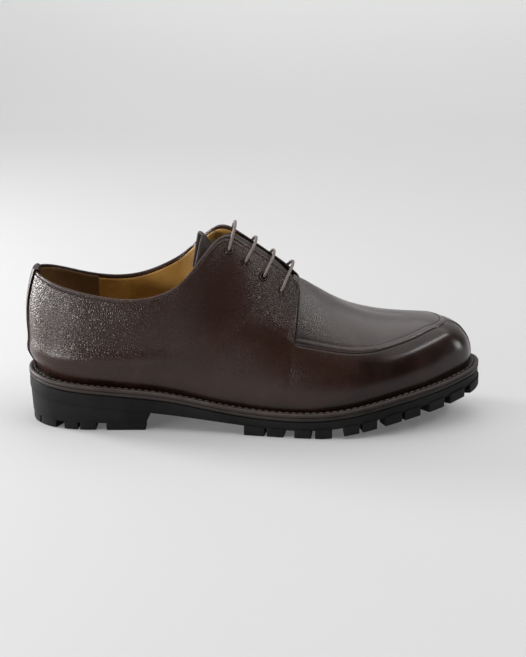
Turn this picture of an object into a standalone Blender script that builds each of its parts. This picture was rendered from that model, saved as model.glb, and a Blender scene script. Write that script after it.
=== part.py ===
"""Right lace-up derby shoe with a split-toe apron, a leather welt and a lugged rubber sole.

All sizes are in millimetres and become metres where a mesh is made. In the shoe's own
coordinates x runs from the heel to the toe, y is negative on the lateral side and z is the
height above the floor.
"""

import math

import bmesh
import bpy
import numpy as np
from mathutils import Vector

MM = 0.001


def table(columns, *rows):
    """A small table: its columns by name, each an array with one value a row."""
    return dict(zip(columns.split(), np.array(rows, float).T))


# Driving sizes
SOLE_BACK = -1
SOLE_LENGTH = 314
SOLE_THICKNESS = 17.6
WELT_MARGIN = 6.3
WELT_THICKNESS = 2.5
MIDSOLE_THICKNESS = 2.4
RUBBER_THICKNESS = 6.4
SHANK_EXTRA = 3.2
INSOLE_ABOVE_WELT = 2
WALL = 2.2
GAP = 0.3

# Throat, facing, seams and heel strip
THROAT_HALF_WIDTH = 9
FACING_LIFT = 1.4
FACING_FADE = 26
FACING_EDGE_WIDTH = 0.5
APRON_RIM_LIFT = 0.9
APRON_RIM_WIDTH = 3
APRON_LIFT = 0.25
SEAM_STEP = 0.6
TOE_SEAM_LIFT = 0.8
TOE_SEAM_ANGLE = 0.022
HEEL_STRIP_LIFT = 0.9
HEEL_STRIP_ANGLE = 0.07
EDGE_ANGLE = 0.012

# Laces and their holes
EYELETS = table(
    "top_x from_edge",
    (139.5, 10),
    (151.5, 12),
    (164.5, 14.2),
    (176.5, 15.2),
)
EYELET_DIAMETER = 4
LACE_DIAMETER = 2.1
LACE_CLEARANCE = 0.75

# The lace bars: how far the middle leans to the toe, and how high it stands
LACE_BARS = table(
    "lean crown",
    (1.4, 3.5),
    (3.2, 2.2),
    (2.8, 1.6),
    (2.0, 2.5),
)

# Tongue
TONGUE_THICKNESS = 2
TONGUE_SIDE = 0.74
TONGUE_CROWN = 0.6
TONGUE_UNDER_APRON_X = (190, 183)
TONGUE_GAP = 0.95
TONGUE_BEHIND_FACING = 0.02
TONGUE_REACH = 11.5
TONGUE_WING_REACH = 0.6
TONGUE_ROWS = 13
TONGUE_END_ROWS = 6

# How deep the tongue lies: distance past the facing's top end, and depth under the facing
TONGUE_PROFILE = table(
    "beyond sink",
    (-70, 0),
    (-25, 0.3),
    (-14, 1.5),
    (-8, 3.5),
    (-3, 6.5),
    (1, 10),
    (4, 12.5),
    (6, 12.8),
    (8, 11.4),
    (10, 9.2),
    (11.5, 8),
)

# Tread and heel
LUG_DEPTH = 12
LUG_ROOT = 1
EDGE_INSET = 0.4
TREAD_INSET = -0.4
HEEL_BREAST_X = 86
HEEL_BREAST_SLOPE = 4
HEEL_INSET = 0.9
HEEL_TAPER = 1.2
HEEL_LUG_HEIGHT = 5
HEEL_BACK_LUG_X = 6
FOREFOOT_START_X = 149
BALL_X = 203
TOE_LUG_X = 305
CENTRE_LUG_LENGTH = 13
CENTRE_LUG_PITCH = 19
CENTRE_LUG_HALF_WIDTH = 13
HEEL_CENTRE_LUGS_X = (34, 56, 74)
FOREFOOT_CENTRE_START_X = 159
FOREFOOT_CENTRE_END_X = 285

# Mesh fineness
QUARTER_STATIONS = 27
VAMP_STATIONS = 19
WALL_ROWS = 5
SIDE_ROWS = 5
CROWN_ROWS = 3
SOLE_STATIONS = 44
LACE_STATIONS = 13
SHARP_EDGE = math.radians(35)

LATERAL = -1
MEDIAL = 1


# Half widths of the welt's outline on each side of the centre line
SOLE_OUTLINE = table(
    "x lateral medial",
    (-1, 0, 0),
    (9, 26, 25),
    (24, 35.5, 34.5),
    (50, 39.3, 38.3),
    (90, 39.3, 36.3),
    (130, 43.3, 35.3),
    (165, 49.8, 41.3),
    (200, 54.8, 51.3),
    (225, 54.8, 55.8),
    (250, 49, 54.5),
    (275, 38, 47.5),
    (296, 23, 36.5),
    (308, 11, 24.5),
    (313, -6.5, 6.5),
)

# Height of the welt's top: heel seat, shank, ball and toe spring
WELT_LINE = table(
    "x z",
    (-1, 37.2),
    (12, 35.2),
    (40, 32.2),
    (70, 29.4),
    (100, 25.9),
    (130, 20.6),
    (160, 17.3),
    (185, 16.7),
    (205, 17.9),
    (230, 22.1),
    (260, 28.2),
    (290, 33.5),
    (313, 38.8),
)

# Side sections from the welt to the collar and to the throat's edge. The foot pulls bend the
# section out and up from the welt, the top pulls bend it out and down from its top.
LATERAL_QUARTER = table(
    "foot_x top_x top_y top_z foot_out foot_up top_out top_down",
    (-1, 5, 0, 105, 5.6, 17, 9, 24.5),
    (9, 13, -14.5, 101, 5.8, 17, 7.8, 24),
    (25, 26, -24, 97.5, 6, 17, 6, 22),
    (50, 50, -30.5, 92.7, 6, 17, 5, 20),
    (80, 82, -34, 91.7, 5, 20, 3.5, 22),
    (100, 101, -33.3, 98, 4, 24, 4, 25),
    (115, 116.5, -28, 111.7, 3.5, 30, 6, 28),
    (127, 134, -12, 129.3, 3, 36, 16.5, 32),
    (137, 146, -9, 126.4, 3, 40, 16, 22),
    (150, 160, -9, 117.5, 3, 42, 16, 16),
    (164, 174.5, -9, 106.4, 3, 42, 16, 13),
)
MEDIAL_QUARTER = table(
    "foot_x top_x top_y top_z foot_out foot_up top_out top_down",
    (-1, 5, 0, 105, 5.6, 17, 9, 24.5),
    (9, 13, 14, 104, 5.8, 17, 7.8, 24),
    (25, 26, 23, 99.3, 6, 17, 6, 22),
    (50, 50, 29.5, 93.1, 6, 17, 5, 20),
    (80, 80, 32.2, 95, 5, 20, 3.5, 22),
    (100, 99, 31.5, 103.5, 4, 24, 4, 25),
    (115, 114, 27.5, 115.4, 3.5, 30, 6, 28),
    (127, 132, 12, 132.4, 3, 36, 16.5, 32),
    (137, 145, 9, 129, 3, 40, 16, 22),
    (150, 160, 9, 119, 3, 42, 16, 16),
    (164, 174.5, 9, 108, 3, 42, 16, 13),
)
QUARTERS = {LATERAL: LATERAL_QUARTER, MEDIAL: MEDIAL_QUARTER}

# Front sections from the welt over the apron seam to the ridge of the vamp
VAMP = table(
    "foot_x ridge_x ridge_y ridge_z foot_out foot_up top_out top_down seam_z",
    (178, 187.5, 1.5, 98, 2, 42, 24, 4, 61.5),
    (192, 197, 2, 92, 4, 36, 26, 2, 59.7),
    (208, 207, 2.5, 85.8, 5, 31, 28, 1, 57.6),
    (224, 217, 3, 80.3, 5, 28, 29, 0, 56),
    (240, 227, 3.6, 76.2, 5, 27, 30, 0, 56.4),
    (256, 237, 4.3, 73.2, 4.5, 25, 31, 0, 58.6),
    (272, 246.5, 5, 71.5, 3.5, 24, 33, 0, 61.4),
    (287, 254, 5.8, 70.6, 3, 22, 36, 0, 64.2),
    (301, 258, 6.5, 70.3, 2.5, 21, 39.5, 0, 65.8),
    (313, 258, 6.5, 70.3, 2, 20.5, 40, 0, 66.3),
)

# Ends of the edge lugs along the sole, the same on both sides
FOREFOOT_LUGS = table(
    "start end",
    (149, 163),
    (164.5, 176),
    (183, 194.5),
    (197, 208.5),
    (216.5, 227),
    (229, 239),
    (244.5, 256),
    (258, 269),
    (275, 286),
    (290, 301),
)
HEEL_LUGS = table(
    "start end",
    (7, 19),
    (25, 35),
    (36.5, 48),
    (55, 82),
)


def natural_spline(knots, values):
    """The natural cubic spline through values, one row for each knot, as a function."""
    knots = np.asarray(knots, float)
    values = np.asarray(values, float)
    steps = np.diff(knots)
    slopes = (np.diff(values, axis=0).T / steps).T
    matrix = np.eye(len(knots))
    right = np.zeros_like(values)
    for i in range(1, len(knots) - 1):
        matrix[i, i - 1 : i + 2] = steps[i - 1], 2 * (steps[i - 1] + steps[i]), steps[i]
        right[i] = 6 * (slopes[i] - slopes[i - 1])
    bends = np.linalg.solve(matrix, right)

    def value_at(place):
        i = int(np.clip(np.searchsorted(knots, place) - 1, 0, len(knots) - 2))
        step = steps[i]
        ahead = (place - knots[i]) / step
        back = 1 - ahead
        bend = (back**3 - back) * bends[i] + (ahead**3 - ahead) * bends[i + 1]
        return back * values[i] + ahead * values[i + 1] + bend * step * step / 6

    return value_at


def spline_over_toe(angles, values):
    """A spline through values that runs on the same over the toe, so that it is smooth there."""
    values = np.asarray(values, float)
    mirrored = 2 * math.pi - np.asarray(angles)[-2::-1]
    return natural_spline([*angles, *mirrored], np.concatenate([values, values[-2::-1]]))


def angle_of(x):
    """Places on the outline are angles: 0 at the back, pi at the toe, so that both ends are round."""
    return np.arccos(np.clip(1 - 2 * (np.asarray(x, float) - SOLE_BACK) / SOLE_LENGTH, -1, 1))


OUTLINE_ANGLES = angle_of(SOLE_OUTLINE["x"])
HALF_WIDTH = {
    LATERAL: natural_spline(OUTLINE_ANGLES, SOLE_OUTLINE["lateral"]),
    MEDIAL: natural_spline(OUTLINE_ANGLES, SOLE_OUTLINE["medial"]),
}
welt_height = natural_spline(WELT_LINE["x"], WELT_LINE["z"])


def outward(side, angle):
    """The outline's horizontal normal."""
    nudge = 1e-4
    low = max(angle - nudge, 0)
    high = min(angle + nudge, math.pi)
    across = side * (HALF_WIDTH[side](high) - HALF_WIDTH[side](low)) / (high - low)
    along = SOLE_LENGTH / 2 * math.sin(angle)
    normal = np.array((across, -along, 0)) * -side
    return normal / np.linalg.norm(normal)


def outline(side, angle, inset=0):
    """A point of the sole's outline at the welt's top, moved in by inset."""
    x = SOLE_BACK + SOLE_LENGTH / 2 * (1 - math.cos(angle))
    point = np.array((x, side * HALF_WIDTH[side](angle), 0))
    point -= outward(side, angle) * inset
    point[2] = welt_height(point[0])
    return point


def bezier(points, place):
    """A point of the cubic curve with these four control points."""
    back = 1 - place
    weights = (back**3, 3 * back**2 * place, 3 * back * place**2, place**3)
    return sum(weight * point for weight, point in zip(weights, points))


def front_part(points, place):
    """The control points of the curve's part before place."""
    first = [a + (b - a) * place for a, b in zip(points, points[1:])]
    second = [a + (b - a) * place for a, b in zip(first, first[1:])]
    return points[0], first[0], second[0], bezier(points, place)


def place_where(curve, reached):
    """The place along a section where reached turns true."""
    low, high = 0.0, 1.0
    for _ in range(40):
        middle = (low + high) / 2
        if reached(bezier(curve, middle)):
            high = middle
        else:
            low = middle
    return high


def foot_point(side, angle):
    """Where the upper's outer face stands on the welt."""
    point = outline(side, angle, WELT_MARGIN)
    point[2] += GAP
    return point


def section_points(side, angle, top, pulls, least_forward=-1):
    """The control points of a section between the welt and its top."""
    foot = foot_point(side, angle)
    normal = outward(side, angle)
    top_normal = np.maximum(normal, (least_forward, -1, -1))
    up = np.array((0, 0, 1))
    foot_out, foot_up, top_out, top_down = pulls
    near_foot = foot + normal * foot_out + up * foot_up
    near_top = top + top_normal * top_out - up * top_down
    return foot, near_foot, near_top, top


VAMP_ANGLES = angle_of(VAMP["foot_x"])
FACING_ANGLE = float(VAMP_ANGLES[0])
TOE_FAN_ANGLE = float(VAMP_ANGLES[-2])
RIDGE = ("ridge_x", "ridge_y", "ridge_z")
PULLS = ("foot_out", "foot_up", "top_out", "top_down")
vamp_ridge = spline_over_toe(VAMP_ANGLES, np.column_stack([VAMP[c] for c in RIDGE]))
vamp_pulls = spline_over_toe(VAMP_ANGLES, np.column_stack([VAMP[c] for c in PULLS]))
seam_height = spline_over_toe(VAMP_ANGLES, VAMP["seam_z"])


def vamp_section(side, angle):
    """Control points of a front section, from the welt to the ridge. The toe's share the ridge's end."""
    ridge = vamp_ridge(math.pi if angle > TOE_FAN_ANGLE else angle)
    return section_points(side, angle, ridge, vamp_pulls(angle), least_forward=0)


def throat_place(side):
    """Where the throat's edge cuts the section along the facing's front edge."""
    curve = vamp_section(side, FACING_ANGLE)
    return place_where(curve, lambda point: side * point[1] < THROAT_HALF_WIDTH)


def quarter_controls(side):
    """The outline's angles of the side's rows, and each row's control points above the foot.

    The last row is the first front section cut at the throat's edge, so both meet.
    """
    rows = QUARTERS[side]
    angles = [*angle_of(rows["foot_x"]), FACING_ANGLE]
    sections = []
    for i, angle in enumerate(angles[:-1]):
        top = np.array([rows[c][i] for c in ("top_x", "top_y", "top_z")])
        sections.append(section_points(side, angle, top, [rows[c][i] for c in PULLS]))
    sections.append(front_part(vamp_section(side, FACING_ANGLE), throat_place(side)))
    controls = [np.concatenate([points[1] - points[0], points[2], points[3]]) for points in sections]
    return np.array(angles), np.array(controls)


def quarter_function(side):
    """Control points of the side sections as a function of the outline's angle, smooth over the heel."""
    angles, controls = quarter_controls(side)
    other_angles, other_controls = quarter_controls(-side)
    knots = np.concatenate([-other_angles[:0:-1], angles])
    control_at = natural_spline(knots, np.concatenate([other_controls[:0:-1], controls]))

    def section(angle):
        foot = foot_point(side, angle)
        pull, near_top, top = np.split(control_at(angle), 3)
        return foot, foot + pull, near_top, top

    return section


quarter_section = {side: quarter_function(side) for side in (LATERAL, MEDIAL)}


def smooth_ramp(value):
    """Rises softly from 0 to 1 as value goes from 0 to 1."""
    value = min(max(value, 0), 1)
    return value * value * (3 - 2 * value)


class Sheet:
    """An open surface: points that are shared where they meet, faces, and a lift for each point."""

    def __init__(self):
        self.points = []
        self.lifts = []
        self.faces = []
        self.flat = set()
        self.known = {}

    def add(self, point, lift=0.0, flat=False):
        key = tuple(np.round(point, 4))
        if key not in self.known:
            self.known[key] = len(self.points)
            self.points.append(np.asarray(point, float))
            self.lifts.append(lift)
        index = self.known[key]
        if flat:
            self.flat.add(index)
        return index

    def grid(self, columns, flip=False):
        """Faces between neighbouring columns of point numbers, as far up as both reach."""
        for left, right in zip(columns, columns[1:]):
            for row in range(min(len(left), len(right)) - 1):
                corners = (left[row], right[row], right[row + 1], left[row + 1])
                face = list(dict.fromkeys(corners))
                if len(face) > 2:
                    self.faces.append(face[::-1] if flip else face)

    def normals(self):
        points = np.array(self.points)
        total = np.zeros_like(points)
        for face in self.faces:
            for i, corner in enumerate(face):
                before = points[face[i - 1]] - points[corner]
                after = points[face[(i + 1) % len(face)]] - points[corner]
                total[face] += np.cross(after, before)
        total[list(self.flat), 2] = 0
        return total / np.linalg.norm(total, axis=1)[:, None]

    def closed(self, outer, inner):
        """The solid between two copies of the surface, outer and inner, with its rims."""
        count = len(self.points)
        faces = list(self.faces)
        faces += [[index + count for index in reversed(face)] for face in self.faces]
        edges = set()
        for face in self.faces:
            edges.update(zip(face, face[1:] + face[:1]))
        for a, b in sorted(edges):
            if (b, a) not in edges:
                faces.append([b, a, a + count, b + count])
        return np.vstack([outer, inner]), faces

    def shell(self, wall, below=0.0):
        """A shell: its outer face is the lifted surface, its inner face lies wall under the surface."""
        normals = self.normals()
        points = np.array(self.points)
        outer = points + normals * (np.array(self.lifts) - below)[:, None]
        return self.closed(outer, points - normals * (wall + below))

    def between(self, top_of, bottom_of):
        """An upright solid over the sheet's plan, between two heights that depend on x."""
        top = np.array([(x, y, top_of(x)) for x, y, _ in self.points])
        bottom = np.array([(x, y, bottom_of(x)) for x, y, _ in self.points])
        return self.closed(top, bottom)


def joined(solids):
    """Several solids as one list of points and faces."""
    all_points = []
    all_faces = []
    for points, faces in solids:
        start = sum(len(group) for group in all_points)
        all_points.append(points)
        all_faces += [[index + start for index in face] for face in faces]
    return np.vstack(all_points), all_faces


# Upper


def seam_places(side, angle):
    """Places on a front section: below the seam, at it, at the rim's inner edge and beside the rim."""
    curve = vamp_section(side, angle)
    seam = place_where(curve, lambda point: point[2] > seam_height(angle))
    nudge = 0.01
    speed = math.dist(bezier(curve, seam), bezier(curve, seam + nudge)) / nudge
    step = SEAM_STEP / speed
    rim = APRON_RIM_WIDTH / speed
    return seam - step, seam, seam + rim, seam + rim + step


def apron_share(side):
    """The share of the apron's section that lies beside the throat's edge."""
    start = seam_places(side, FACING_ANGLE)[3]
    return (throat_place(side) - start) / (1 - start)


APRON_SHARE = {side: apron_share(side) for side in (LATERAL, MEDIAL)}


def vamp_places(side, angle):
    """Places of the mesh rows on a front section: wall, seam, rim, apron side and crown."""
    below, seam, rim, apron = seam_places(side, angle)
    crown = apron + (1 - apron) * APRON_SHARE[side]
    wall = np.linspace(0, below, WALL_ROWS)
    beside = np.linspace(apron, crown, SIDE_ROWS)
    top = np.linspace(crown, 1, CROWN_ROWS)[1:]
    return [*wall, seam, rim, *beside, *top]


def facing_places(side):
    """Places of the mesh rows along the facing's front edge, as shares of that section."""
    rows = WALL_ROWS + 2 + SIDE_ROWS
    return np.array(vamp_places(side, FACING_ANGLE)[:rows]) / throat_place(side)


FACING_PLACES = {side: facing_places(side) for side in (LATERAL, MEDIAL)}
HEEL_PLACES = (FACING_PLACES[LATERAL] + FACING_PLACES[MEDIAL]) / 2


def quarter_places(side, angle):
    """Places of the mesh rows on a side section: the facing's rows run on to the heel."""
    share = angle / FACING_ANGLE
    return HEEL_PLACES * (1 - share) + FACING_PLACES[side] * share


def vamp_lift(row, angle):
    """The apron's rim along the seam, and the split toe's seam below it, stand proud of the wall."""
    if row in (WALL_ROWS, WALL_ROWS + 1):
        return APRON_RIM_LIFT
    if row > WALL_ROWS:
        return APRON_LIFT
    return TOE_SEAM_LIFT if math.pi - angle < TOE_SEAM_ANGLE + EDGE_ANGLE / 2 else 0.0


def quarter_lift(side, angle, place):
    """The facing stands proud of the apron along its front edge and fades out behind it."""
    behind = (FACING_ANGLE - angle) * SOLE_LENGTH / 2
    seam = seam_places(side, FACING_ANGLE)[0] / throat_place(side)
    above = (place - seam) / (1 - seam)
    facing = FACING_LIFT * (1 - smooth_ramp(behind / FACING_FADE)) * smooth_ramp(above * 4)
    strip = HEEL_STRIP_LIFT if angle <= HEEL_STRIP_ANGLE else 0.0
    return facing + strip


def even_stations(start, end, count):
    """Angles of side sections in even steps along their feet and tops together."""
    fine = np.linspace(start, end, 20 * count)
    sections = [quarter_section[LATERAL](angle) for angle in fine]
    steps = [0.0]
    for before, after in zip(sections, sections[1:]):
        steps.append(math.dist(before[0], after[0]) + math.dist(before[3], after[3]))
    length = np.cumsum(steps)
    return np.interp(np.linspace(0, length[-1], count), length, fine)


def upper_sheet():
    """The upper's surface, with close columns of points where a strip, facing or seam has its step."""
    heel_angles = (0, HEEL_STRIP_ANGLE, HEEL_STRIP_ANGLE + EDGE_ANGLE)
    side_angles = even_stations(heel_angles[-1] + HEEL_STRIP_ANGLE, FACING_ANGLE, QUARTER_STATIONS)
    toe_angles = (math.pi - TOE_SEAM_ANGLE - EDGE_ANGLE, math.pi - TOE_SEAM_ANGLE, math.pi)
    front_start = FACING_ANGLE + FACING_EDGE_WIDTH / (SOLE_LENGTH / 2)
    front_angles = np.linspace(front_start, toe_angles[0] - HEEL_STRIP_ANGLE, VAMP_STATIONS)
    sheet = Sheet()
    for side in (LATERAL, MEDIAL):
        columns = []
        for angle in (*heel_angles, *side_angles):
            curve = quarter_section[side](angle)
            column = []
            for place in quarter_places(side, angle):
                lift = quarter_lift(side, angle, place)
                column.append(sheet.add(bezier(curve, place), lift, place == 0))
            columns.append(column)
        for angle in (*front_angles, *toe_angles):
            curve = vamp_section(side, angle)
            column = []
            for row, place in enumerate(vamp_places(side, angle)):
                column.append(sheet.add(bezier(curve, place), vamp_lift(row, angle), row == 0))
            columns.append(column)
        sheet.grid(columns, flip=side == MEDIAL)
    return sheet


def side_point(side, angle, place, lift=0.0):
    """A point of the side's surface, lifted along the surface's normal."""
    nudge = 1e-3
    section = quarter_section[side]
    point = bezier(section(angle), place)
    along = point - bezier(section(angle - nudge), place)
    upward = point - bezier(section(angle), place - nudge)
    normal = np.cross(along, upward) * -side
    return point + normal / np.linalg.norm(normal) * lift


def station_of_top(side, top_x):
    """The outline's angle of the side section whose top is at this x."""
    low, high = float(angle_of(QUARTERS[side]["foot_x"][-5])), FACING_ANGLE
    for _ in range(40):
        middle = (low + high) / 2
        if quarter_section[side](middle)[3][0] > top_x:
            high = middle
        else:
            low = middle
    return high


def place_from_top(side, angle, distance):
    """The place on a side section at this distance below its top."""
    curve = quarter_section[side](angle)
    return place_where(curve, lambda point: math.dist(point, curve[3]) < distance)


def eyelet_cutters():
    """Round cutters along the surface's normals at the lace holes."""
    reach = 5
    solids = []
    for side in (LATERAL, MEDIAL):
        for top_x, from_edge in zip(EYELETS["top_x"], EYELETS["from_edge"]):
            angle = station_of_top(side, top_x)
            place = place_from_top(side, angle, from_edge)
            start = side_point(side, angle, place, -reach)
            axis = side_point(side, angle, place, reach) - start
            solids.append(cylinder(start, axis, EYELET_DIAMETER / 2))
    return joined(solids)


def cylinder(start, axis, radius, sides=8):
    """A closed round bar from start along axis."""
    unit = axis / np.linalg.norm(axis)
    across = np.cross(unit, (0, 0, 1))
    across /= np.linalg.norm(across)
    beside = np.cross(unit, across)
    turns = np.arange(sides) * 2 * math.pi / sides
    ring = [start + radius * (math.cos(turn) * across + math.sin(turn) * beside) for turn in turns]
    points = np.vstack([ring, np.array(ring) + axis])
    faces = [[i, (i + 1) % sides, (i + 1) % sides + sides, i + sides] for i in range(sides)]
    faces += [list(range(sides))[::-1], list(range(sides, 2 * sides))]
    return points, faces


# Tongue and laces


def bridge_points(lateral, medial, reach):
    """Points of a smooth arc over the throat between the ends of two rows of points."""
    start, end = lateral[-1], medial[-1]
    arc = (start, start + (start - lateral[-2]) * reach, end + (end - medial[-2]) * reach, end)
    return [bezier(arc, place) for place in (0.25, 0.5, 0.75)]


def tongue_row(angle):
    """Points across the tongue at a side section: under both facings and over the throat between them."""
    below = -(WALL + TONGUE_GAP)
    wings = {}
    for side in (LATERAL, MEDIAL):
        places = np.linspace(TONGUE_SIDE, 1, 4)
        wings[side] = [side_point(side, angle, place, below) for place in places]
    middle = bridge_points(wings[LATERAL], wings[MEDIAL], TONGUE_CROWN)
    return [*wings[LATERAL], *middle, *wings[MEDIAL][::-1]]


def tongue_front_row(foot_x):
    """Points across the tongue where it lies under the apron."""
    angle = float(angle_of(foot_x))
    nudge = 1e-3
    wings = {}
    for side in (LATERAL, MEDIAL):
        cut = throat_place(side)
        places = [*np.linspace(TONGUE_SIDE * cut, cut, 4), (1 + cut) / 2, 1 - nudge]
        wing = []
        for place in places:
            point = bezier(vamp_section(side, angle), place)
            along = bezier(vamp_section(side, angle + nudge), place) - point
            upward = bezier(vamp_section(side, angle), place + nudge) - point
            normal = np.cross(along, upward) * -side
            wing.append(point - normal / np.linalg.norm(normal) * (WALL + TONGUE_GAP))
        wings[side] = wing
    middle = (wings[LATERAL].pop() + wings[MEDIAL].pop()) / 2
    return [*wings[LATERAL], middle, *wings[MEDIAL][::-1]]


def tongue_solid():
    """The tongue: its front lies under the apron, near its top it dips, and its end curls up."""
    rows = [tongue_front_row(foot_x) for foot_x in TONGUE_UNDER_APRON_X]
    top_angle = station_of_top(LATERAL, LATERAL_QUARTER["top_x"][-4] + 1)
    angles = np.linspace(FACING_ANGLE - TONGUE_BEHIND_FACING, top_angle, TONGUE_ROWS)
    rows = np.array(rows + [tongue_row(angle) for angle in angles])
    middle = rows.shape[1] // 2
    end = rows[-1]
    run = end[middle] - rows[-3][middle]
    run /= np.linalg.norm(run)
    aside = np.abs(end[:, 1:2]) / np.abs(end[:, 1]).max()
    past = np.linspace(0, TONGUE_REACH, TONGUE_END_ROWS + 1)[1:]
    rows = np.concatenate([rows, [end + run * beyond * (1 + TONGUE_WING_REACH * aside) for beyond in past]])
    lengths = np.concatenate([[0], np.cumsum(np.linalg.norm(np.diff(rows[:, middle], axis=0), axis=1))])
    sink_at = natural_spline(TONGUE_PROFILE["beyond"], TONGUE_PROFILE["sink"])
    for row, length in zip(rows, lengths):
        row[:, 2] -= sink_at(length - lengths[-1] + TONGUE_REACH)
    sheet = Sheet()
    columns = [[sheet.add(point) for point in row] for row in reversed(rows)]
    sheet.grid(columns)
    return sheet.shell(TONGUE_THICKNESS)


def lace_route(top_x, from_edge, lean, crown):
    """Points along a bar of the lace, from hole to hole over the facings."""
    ends = {}
    for side in (LATERAL, MEDIAL):
        points = []
        for share in (1, 0.66, 0.33, 0.05):
            angle = station_of_top(side, top_x + lean * (1 - share))
            place = place_from_top(side, angle, from_edge * share)
            lift = quarter_lift(side, angle, place) + LACE_DIAMETER / 2 + LACE_CLEARANCE
            points.append(side_point(side, angle, place, lift))
        ends[side] = points
    middle = bridge_points(ends[LATERAL], ends[MEDIAL], crown)
    return [*ends[LATERAL], *middle, *ends[MEDIAL][::-1]]


# Sole


def rubber_top(x):
    return welt_height(x) - WELT_THICKNESS - MIDSOLE_THICKNESS - 2 * GAP


def rubber_bottom(x):
    shank = smooth_ramp((FOREFOOT_START_X - x) / (FOREFOOT_START_X - HEEL_BREAST_X))
    return rubber_top(x) - RUBBER_THICKNESS - SHANK_EXTRA * shank


def tread_height(x):
    """Height of the lugs' faces: flat on the floor up to the ball, then rising with the toe."""
    return max(0.0, welt_height(x) - SOLE_THICKNESS) if x > BALL_X else 0.0


def plan(inset, angles):
    """The sole's plan as a sheet with one strip between neighbouring stations."""
    sheet = Sheet()
    columns = []
    for angle in angles:
        columns.append([sheet.add(outline(side, angle, inset)) for side in (LATERAL, MEDIAL)])
    sheet.grid(columns)
    return sheet


def ring_plan(inset, width):
    """The plan of a ring that follows the outline all around."""
    sheet = Sheet()
    angles = np.linspace(0, math.pi, SOLE_STATIONS)
    around = [(LATERAL, angle) for angle in angles] + [(MEDIAL, angle) for angle in angles[::-1]]
    columns = []
    for side, angle in around:
        columns.append([sheet.add(outline(side, angle, depth)) for depth in (inset, inset + width)])
    sheet.grid(columns)
    return sheet


def edge_lug(side, start, end, inset):
    """The plan of a lug on the sole's edge between two places along it."""
    sheet = Sheet()
    columns = []
    for angle in np.linspace(angle_of(start), angle_of(end), 3):
        columns.append([sheet.add(outline(side, angle, depth)) for depth in (inset, inset + LUG_DEPTH)])
    sheet.grid(columns, flip=side == MEDIAL)
    return sheet


def round_end_lug(end_angle, start, inset):
    """The plan of a lug that goes round the back or the toe, from start on one side to the other."""
    sheet = Sheet()
    angles = np.linspace(angle_of(start), end_angle, 4)
    around = [(LATERAL, angle) for angle in angles] + [(MEDIAL, angle) for angle in angles[-2::-1]]
    columns = []
    for side, angle in around:
        columns.append([sheet.add(outline(side, angle, depth)) for depth in (inset, inset + LUG_DEPTH)])
    sheet.grid(columns, flip=end_angle == 0)
    return sheet


def box_lug(x, length, y, half_width):
    sheet = Sheet()
    columns = []
    for place in (x - length / 2, x + length / 2):
        columns.append([sheet.add((place, y + share * half_width, 0)) for share in (-1, 1)])
    sheet.grid(columns)
    return sheet


def heel_block():
    """The solid part of the heel, drawn in a little towards the floor."""
    angles = np.linspace(0, angle_of(HEEL_BREAST_X), SOLE_STATIONS // 3)
    low_angles = np.linspace(0, angle_of(HEEL_BREAST_X - HEEL_BREAST_SLOPE), SOLE_STATIONS // 3)
    top = plan(HEEL_INSET, angles)
    low = plan(HEEL_INSET + HEEL_TAPER, low_angles)
    high = [(x, y, rubber_bottom(x) + LUG_ROOT) for x, y, _ in top.points]
    bottom = [(x, y, HEEL_LUG_HEIGHT) for x, y, _ in low.points]
    return top.closed(np.array(high), np.array(bottom))


def heel_lugs():
    inset = HEEL_INSET + HEEL_TAPER + GAP
    plans = [round_end_lug(0.0, HEEL_BACK_LUG_X, inset)]
    for start, end in zip(HEEL_LUGS["start"], HEEL_LUGS["end"]):
        plans += [edge_lug(side, start, end, inset) for side in (LATERAL, MEDIAL)]
    for x in HEEL_CENTRE_LUGS_X:
        plans.append(box_lug(x, CENTRE_LUG_LENGTH, 0, CENTRE_LUG_HALF_WIDTH))
    return [lug.between(lambda x: HEEL_LUG_HEIGHT + LUG_ROOT, lambda x: 0.0) for lug in plans]


def forefoot_lugs():
    plans = [round_end_lug(math.pi, TOE_LUG_X, TREAD_INSET)]
    for start, end in zip(FOREFOOT_LUGS["start"], FOREFOOT_LUGS["end"]):
        plans += [edge_lug(side, start, end, TREAD_INSET) for side in (LATERAL, MEDIAL)]
    for x in np.arange(FOREFOOT_CENTRE_START_X, FOREFOOT_CENTRE_END_X, CENTRE_LUG_PITCH):
        angle = float(angle_of(x))
        middle = (outline(LATERAL, angle)[1] + outline(MEDIAL, angle)[1]) / 2
        plans.append(box_lug(x, CENTRE_LUG_LENGTH, middle, CENTRE_LUG_HALF_WIDTH))
    return [lug.between(lambda x: rubber_bottom(x) + LUG_ROOT, tread_height) for lug in plans]


# Blender objects


def clear_scene():
    for old in list(bpy.data.objects):
        bpy.data.objects.remove(old, do_unlink=True)


def collection_named(name):
    made = bpy.data.collections.new(name)
    bpy.context.scene.collection.children.link(made)
    return made


def material_named(name, colour, roughness):
    made = bpy.data.materials.new(name)
    made.use_nodes = True
    shader = made.node_tree.nodes["Principled BSDF"]
    shader.inputs["Base Color"].default_value = (*colour, 1)
    shader.inputs["Roughness"].default_value = roughness
    shader.inputs["Metallic"].default_value = 0
    return made


def mesh_object(name, solid, collection, material=None):
    """A mesh object made from a solid's points, in millimetres, and faces."""
    points, faces = solid
    mesh = bpy.data.meshes.new(name)
    mesh.from_pydata([tuple(point * MM) for point in points], [], faces)
    work = bmesh.new()
    work.from_mesh(mesh)
    bmesh.ops.recalc_face_normals(work, faces=work.faces)
    work.to_mesh(mesh)
    work.free()
    made = bpy.data.objects.new(name, mesh)
    collection.objects.link(made)
    if material:
        mesh.materials.append(material)
        mesh.shade_smooth()
        mesh.set_sharp_from_angle(angle=SHARP_EDGE)
    return made


def cutter_object(name, solid, collection):
    made = mesh_object(name, solid, collection)
    made.hide_render = True
    made.display_type = "WIRE"
    return made


def add_boolean(target, operation, other):
    modifier = target.modifiers.new(operation.lower(), "BOOLEAN")
    modifier.operation = operation
    modifier.object = other


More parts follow.
